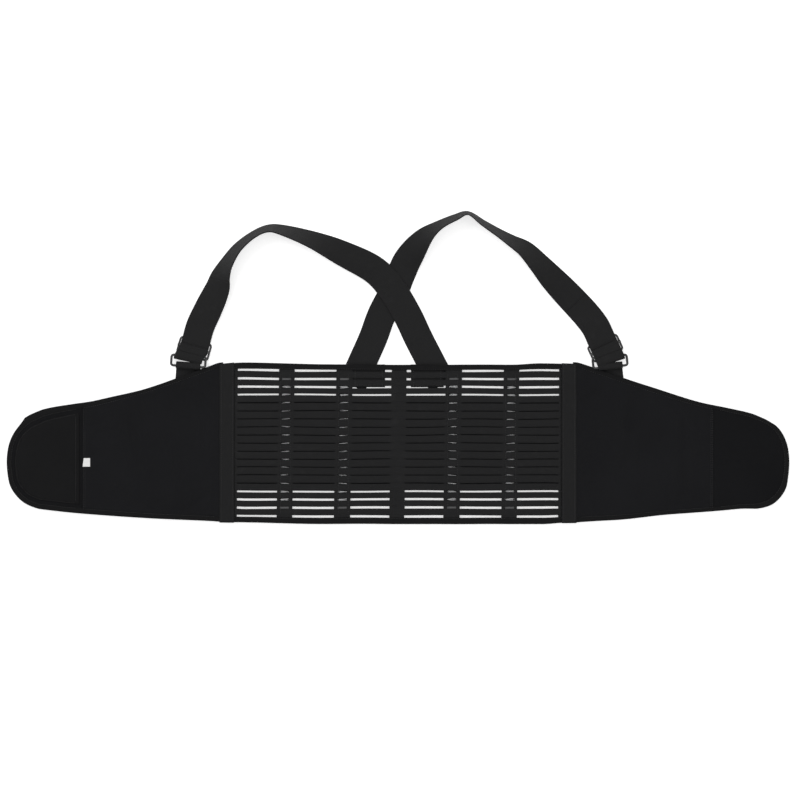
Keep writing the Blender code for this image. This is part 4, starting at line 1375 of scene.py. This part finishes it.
class Adjuster:
    """Places and directions of one side's ring, tab, slider and webbing."""

    def __init__(self, word, side):
        lift = JOINTS[f"{word}_ring_lift"]
        slide = JOINTS[f"{word}_slider_travel"]
        self.side = side
        self.across = Vector(lift["axis"])
        self.out = Vector((-self.across.y, self.across.x, 0.0))
        self.pivot = Vector(lift["pos_m"])
        self.up = Vector(slide["axis"])
        self.wide = Vector((self.up.y, -self.up.x, 0.0))
        ring_low, ring_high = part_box(f"ring_{word}")
        self.wire = (ring_high.z - ring_low.z) / 2
        low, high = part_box(f"slider_{word}")
        self.middle = (low + high) / 2
        self.middle.z = 0.0
        self.slider_low, self.slider_high = low.z, high.z
        self.short = 0.026
        self.plate = 0.0026
        self.reach = 0.018 - 2 * self.wire
        self.upper_bar = self.pivot + self.out * self.reach
        self.web_z = self.plate + 2 * GAP + STRAP_THICK / 2
        self.opening = self.middle + self.up * (slide["range_m"][1] + self.short / 2 + 0.004)
        self.over = self.slider_high + 0.0004 + STRAP_THICK / 2


def ring_piece(word, spot):
    """A moulded rectangular ring: an oval wire with round corners."""
    half = 0.051 / 2 - spot.wire
    reach = spot.reach
    corner = 0.003
    path = []
    for u, v, start in ((half - corner, corner, -90), (half - corner, reach - corner, 0),
                        (-half + corner, reach - corner, 90), (-half + corner, corner, 180)):
        for k in range(9):
            a = math.radians(start + 90 * k / 8)
            path.append((u + corner * math.cos(a), v + corner * math.sin(a)))
    line = [spot.pivot + spot.across * u + spot.out * v for u, v in path]
    line = spaced([tuple(p) for p in line], 0.0012, closed=True)
    ring = [(spot.wire * 1.06 * math.cos(a), spot.wire * 0.97 * math.sin(a))
            for a in (2 * math.pi * k / 16 for k in range(16))]
    item = strip(f"ring_{word}_wire", line, (0, 0, 1), ring, "plastic", closed=True)
    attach(item, f"{word}_adjuster")
    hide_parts(f"ring_{word}")


def slider_piece(word, spot):
    """A moulded three-bar slider: a rounded frame and a middle bar raised over the webbing."""
    long = 0.047
    bar = 0.0029
    z = spot.slider_low + spot.plate / 2
    half_u, half_v = long / 2 - bar / 2, spot.short / 2 - bar / 2
    corner = 0.0035
    path = []
    for u, v, start in ((half_u - corner, -half_v + corner, -90), (half_u - corner, half_v - corner, 0),
                        (-half_u + corner, half_v - corner, 90), (-half_u + corner, -half_v + corner, 180)):
        for k in range(9):
            a = math.radians(start + 90 * k / 8)
            path.append((u + corner * math.cos(a), v + corner * math.sin(a)))
    line = [spot.middle + spot.wide * u + spot.up * v + Vector((0, 0, z)) for u, v in path]
    line = spaced([tuple(p) for p in line], 0.0012, closed=True)
    frame = strip("frame", line, (0, 0, 1), round_section(bar, spot.plate, 0.0009), "plastic", closed=True)
    top = spot.slider_high - spot.plate / 2
    arch = [(-half_u, z), (-half_u - 0.0001, z + 0.001), (-half_u, top - 0.0012),
            (-half_u + 0.0006, top - 0.0003), (-half_u + 0.0016, top), (half_u - 0.0016, top),
            (half_u - 0.0006, top - 0.0003), (half_u, top - 0.0012), (half_u + 0.0001, z + 0.001),
            (half_u, z)]
    line = [tuple(spot.middle + spot.wide * u + Vector((0, 0, h))) for u, h in arch]
    line = spaced([tuple(p) for p in smooth([Vector(p) for p in line], 4)], 0.0008)
    ahead = directions(line)
    across = np.tile(tuple(spot.up), (len(line), 1))
    above = np.cross(ahead, across)
    bridge = sweep("bridge", line, across, above, round_section(0.004, spot.plate * 0.9, 0.0009), "plastic")
    item = joined(f"slider_{word}_body", [frame, bridge])
    item.data.polygons.foreach_set("use_smooth", [True] * len(item.data.polygons))
    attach(item, f"{word}_slider")
    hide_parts(f"slider_{word}")


def web_section(width=0.04):
    return flat_section(width, STRAP_THICK, 16, 0.0, 0.00016)


def tab_piece(word, spot):
    """The ring's tab: webbing sewn under the wing's edge and turned round the lower bar."""
    turn = spot.wire + 0.0004 + STRAP_THICK / 2
    floor = STRAP_THICK / 2
    foot = Vector((spot.pivot.x, spot.pivot.y, floor))
    line = [foot - spot.out * d for d in (0.02, 0.012, 0.0075, 0.0045, 0.0022)]
    for a in np.linspace(-70, 180, 22):
        angle = math.radians(a)
        away = turn * math.cos(angle) * (LOOSE_TAB if math.cos(angle) > 0 else 1.0)
        line.append(spot.pivot + spot.out * away + Vector((0, 0, turn * math.sin(angle))))
    line = spaced([tuple(p) for p in line], 0.0009)
    ahead = directions(line)
    across = np.tile(tuple(spot.across), (len(line), 1))
    item = sweep(f"ring_tab_{word}_web", line, across, np.cross(across, ahead), web_section(0.034), "webbing")
    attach(item, f"{word}_wing")
    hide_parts(f"ring_tab_{word}")


def strap_rows(word, spot):
    """Places and directions across of one suspender, from its sewn tail to above its slider."""
    side = spot.side
    top = BELT_HALF + 0.001
    anchor = ANCHORS[word]
    start = Vector((anchor, top))
    end = spot.opening
    across_all = end.x - anchor
    points = [(anchor + across_all * u, top + v * STRAP_RISE, tilt) for u, v, tilt in ROUTES[word]]
    lead = (Vector(points[0][:2]) - start).normalized()
    tail = start - lead * STRAP_TAIL
    last = [spot.middle + spot.up * d for d in (STRAIGHT, SLIDER_TOP)]
    line = smooth([(tail.x, tail.y, 0.0), (start.x, start.y, 0.0)] + points
                  + [(p.x, p.y, 0.0) for p in last], 12)
    rows = []
    low_from, low_by = len(line) - 42, len(line) - 16
    for i, here in enumerate(line):
        before, after = line[max(i - 1, 0)], line[min(i + 1, len(line) - 1)]
        along = Vector((after.x - before.x, after.y - before.y, 0.0)).normalized()
        if i == len(line) - 1:
            along = -spot.up
        inner = Vector((-along.y, along.x, 0.0)) * -side
        tilt = math.radians(max(here.z, 0.0))
        base = STRAP_THICK / 2 + 0.0001 + (hump(here) if word == "left" else 0.0)
        base += (spot.web_z - base) * ease((i - low_from) / (low_by - low_from))
        middle = Vector((here.x, here.y, base + 0.02 * math.sin(tilt)))
        across = (inner * math.cos(tilt) + Vector((0, 0, math.sin(tilt)))) * side
        rows.append((middle, across))
    return rows


def hump(here):
    """The rise of the strap that lies on the other at the crossing."""
    low, high, run = BELT_HALF + 0.02, BELT_HALF + 0.165, 0.028
    if here.y <= low or here.x < -0.12:
        return 0.0
    share = min((here.y - low) / run, 1.0)
    if here.y > high - run:
        share = max(0.0, (high - here.y) / run)
    return (STRAP_THICK + 2 * GAP + 0.0004) * ease(share)


def web(name, rows, start=0.0, width=0.04):
    """Webbing through rows of (middle, across)."""
    middle = np.array([tuple(m) for m, a in rows])
    across = np.array([tuple(a) for m, a in rows])
    across /= np.linalg.norm(across, axis=1, keepdims=True)
    above = np.cross(across, directions(middle))
    above /= np.linalg.norm(above, axis=1, keepdims=True)
    return sweep(name, middle, across, above, web_section(width), "webbing", start=start)


def suspender_pieces():
    for word, side in SIDES:
        spot = Adjuster(word, side)
        ring_piece(word, spot)
        slider_piece(word, spot)
        tab_piece(word, spot)
        rows = strap_rows(word, spot)
        turn_at = next(i for i in range(len(rows) // 2, len(rows)) if abs(rows[i][0].x) > SEAM - 0.001)
        crest = max(range(turn_at), key=lambda i: rows[i][0].y)
        tail = web(f"suspender_{word}_tail", rows[:crest + 1])
        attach(tail, "belt")
        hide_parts(f"suspender_{word}")
        run = sum((b[0] - a[0]).length for a, b in zip(rows[:crest], rows[1:crest + 1]))
        upper = web(f"suspender_{word}_web", rows[crest:turn_at + 1], run)
        before = rows[turn_at - TWIST_ROWS][0]
        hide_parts(f"suspender_{word}")
        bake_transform(upper)
        lower_rows(word, spot, rows, turn_at)


def lower_rows(word, spot, rows, turn_at):
    """The strap from mid arch down through the slider and round the ring, and its end on the middle bar."""
    up_z = Vector((0, 0, spot.web_z))
    wide = spot.wide * (1 if rows[-1][1].dot(spot.wide) > 0 else -1)
    down = list(rows[turn_at:-1])
    path = [(spot.middle + spot.up * d + up_z, wide) for d in (0.0125, 0.009, 0.0045, 0.0, -0.0035)]
    turn = spot.wire + 0.0004 + STRAP_THICK / 2
    pull = (spot.out * 0.35 + spot.up * 0.65).normalized()
    cross = Vector((pull.y, -pull.x, 0.0))
    if cross.dot(wide) < 0:
        cross.negate()
    axis = spot.upper_bar - pull * (0.02 * math.tan(pull.angle(spot.out)))
    bend = []
    for a in np.linspace(-90, 90, 17):
        angle = math.radians(a)
        rise = Vector((0, 0, turn * math.sin(angle)))
        bend.append((axis - pull * (LOOSE_LOOP * turn * math.cos(angle)) + rise, cross))
    first = path[-1]
    between = [(first[0].lerp(bend[0][0], s), first[1].lerp(bend[0][1], s).normalized())
               for s in (0.25, 0.5, 0.75)]
    top_end = (spot.middle + Vector((0, 0, spot.over)), wide)
    share = 0.46
    rise = [(bend[-1][0].lerp(top_end[0], s), bend[-1][1].lerp(top_end[1], s).normalized())
            for s in (0.12, 0.24, 0.36, share)]
    whole = down + path + between + bend + rise
    lower = web(f"strap_loop_{word}_web", whole, 0.4)
    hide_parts(f"strap_loop_{word}")
    tuple(spot.opening + up_z)
    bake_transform(lower)
    crest = [(bend[-1][0].lerp(top_end[0], s), bend[-1][1].lerp(top_end[1], s).normalized())
             for s in (share - 0.02, 0.6, 0.75, 0.88)]
    crest += [top_end]
    for d, z in ((0.0014, -0.00005), (0.0024, -0.0004), (0.0031, -0.0012), (0.0034, -0.0022),
                 (0.0034, -0.003)):
        crest.append((spot.middle + spot.up * d + Vector((0, 0, spot.over + z)), wide))
    end = web(f"loop_end_{word}_web", crest, 0.6, 0.0395)
    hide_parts(f"loop_end_{word}")
    tuple(crest[0][0])
    tuple(crest[3][0])
    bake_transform(end)


def patch_pieces():
    """Reinforcement where the straps are sewn on, and the box of stitches through each."""
    for word in ("left", "right"):
        node = f"anchor_patch_{word}"
        low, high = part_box(node)
        size, centre = high - low, (low + high) / 2
        item = slab(f"{node}_web", tuple(size), tuple(centre), "tape", 0.0003, (16, 16))
        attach(item, "belt")
        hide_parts(node)
        z = PANEL_HIGH.z + 0.0001
        x0, x1, y0, y1 = low.x + 0.004, high.x - 0.004, low.y + 0.003, BELT_HALF - 0.009
        for a, b in (((x0, y0), (x1, y0)), ((x0, y1), (x1, y1)), ((x0, y0), (x0, y1)), ((x1, y0), (x1, y1))):
            Sewing.row("belt", [(*a, z), (*b, z)])


# ---------------------------------------------------------------- stage

def area_light(name, place, aim, size, power, shape="RECTANGLE"):
    light = bpy.data.lights.new(name, "AREA")
    light.shape = shape
    light.size, light.size_y = size
    light.energy = power
    item = bpy.data.objects.new(name, light)
    item.location = place
    item.rotation_euler = (Vector(aim) - Vector(place)).to_track_quat("-Z", "Y").to_euler()
    bpy.context.scene.collection.objects.link(item)
    return item


def studio():
    half = 6.0
    corners = [(-half, -half), (half, -half), (half, half), (-half, half)]
    floor = piece("floor", [(x, y, -0.0006) for x, y in corners], [(0, 1, 2, 3)], corners, "floor")
    area_light("key", (-1.4, 1.5, 2.4), (0, 0, 0), (1.8, 1.8), 35)
    area_light("fill", (1.8, -1.2, 2.4), (0, 0, 0), (2.4, 2.4), 18)
    area_light("above", (0, 0, 3.4), (0, 0, 0), (3.0, 3.0), 34)
    world = bpy.data.worlds.new("studio")
    world.use_nodes = True
    background = world.node_tree.nodes["Background"]
    background.inputs["Color"].default_value = (1.0, 1.0, 1.0, 1.0)
    background.inputs["Strength"].default_value = 0.3
    bpy.context.scene.world = world
    bpy.context.scene.view_settings.view_transform = "Standard"
    data = bpy.data.cameras.new("camera")
    camera = bpy.data.objects.new("camera", data)
    distance = 4.0
    camera.location = (0.0028, 0.0602, distance)
    data.sensor_width = 36.0
    data.lens = 36.0 * distance / 1.12
    data.clip_end = 50.0
    bpy.context.scene.collection.objects.link(camera)
    bpy.context.scene.camera = camera


# ---------------------------------------------------------------- operators

def sew():
    for body, item in Sewing.sew():
        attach(item, body)


class BRACE_OT_stage(bpy.types.Operator):
    """Floor, lights and camera"""
    bl_idname = "brace.stage"
    bl_label = "Stage"

    def execute(self, context):
        studio()
        return {"FINISHED"}


class BRACE_OT_back(bpy.types.Operator):
    """Ladder elastic, its bindings and the seam tapes"""
    bl_idname = "brace.back"
    bl_label = "Back"

    def execute(self, context):
        back_pieces()
        return {"FINISHED"}


class BRACE_OT_stays(bpy.types.Operator):
    """Wire stays, their caps and channel tapes"""
    bl_idname = "brace.stays"
    bl_label = "Stays"

    def execute(self, context):
        stay_pieces()
        return {"FINISHED"}


class BRACE_OT_bands(bpy.types.Operator):
    """Outer elastic band and side pulls"""
    bl_idname = "brace.bands"
    bl_label = "Bands"

    def execute(self, context):
        band_pieces()
        return {"FINISHED"}


class BRACE_OT_wings(bpy.types.Operator):
    """Foam wings, their ends, bindings and closure"""
    bl_idname = "brace.wings"
    bl_label = "Wings"

    def execute(self, context):
        wing_pieces()
        return {"FINISHED"}


class BRACE_OT_patches(bpy.types.Operator):
    """Reinforcement at the suspenders' anchors"""
    bl_idname = "brace.patches"
    bl_label = "Patches"

    def execute(self, context):
        patch_pieces()
        return {"FINISHED"}


class BRACE_OT_suspenders(bpy.types.Operator):
    """Crossed straps, sliders, rings and tabs"""
    bl_idname = "brace.suspenders"
    bl_label = "Suspenders"

    def execute(self, context):
        suspender_pieces()
        return {"FINISHED"}


class BRACE_OT_stitches(bpy.types.Operator):
    """Every row of sewing thread"""
    bl_idname = "brace.stitches"
    bl_label = "Stitches"

    def execute(self, context):
        sew()
        return {"FINISHED"}


STEPS = (BRACE_OT_stage, BRACE_OT_back, BRACE_OT_stays, BRACE_OT_bands, BRACE_OT_wings,
         BRACE_OT_patches, BRACE_OT_suspenders, BRACE_OT_stitches)


class BRACE_PT_panel(bpy.types.Panel):
    """Steps, sizes and colours of the brace"""
    bl_label = "Back brace"
    bl_idname = "BRACE_PT_panel"
    bl_space_type = "VIEW_3D"
    bl_region_type = "UI"
    bl_category = "Brace"

    def draw(self, context):
        for step in STEPS:
            self.layout.operator(step.bl_idname)
        for group in (context.scene.brace_sizes, context.scene.brace_colours):
            for name in group.__annotations__:
                self.layout.prop(group, name)


CLASSES = (BraceSizes, BraceColours, *STEPS, BRACE_PT_panel)


def register():
    for item in CLASSES:
        bpy.utils.register_class(item)
    bpy.types.Scene.brace_sizes = bpy.props.PointerProperty(type=BraceSizes)
    bpy.types.Scene.brace_colours = bpy.props.PointerProperty(type=BraceColours)


def unregister():
    del bpy.types.Scene.brace_colours
    del bpy.types.Scene.brace_sizes
    for item in reversed(CLASSES):
        bpy.utils.unregister_class(item)


def main():
    register()
    for step in STEPS:
        group, name = step.bl_idname.split(".")
        getattr(getattr(bpy.ops, group), name)()


if __name__ == "__main__":
    main()
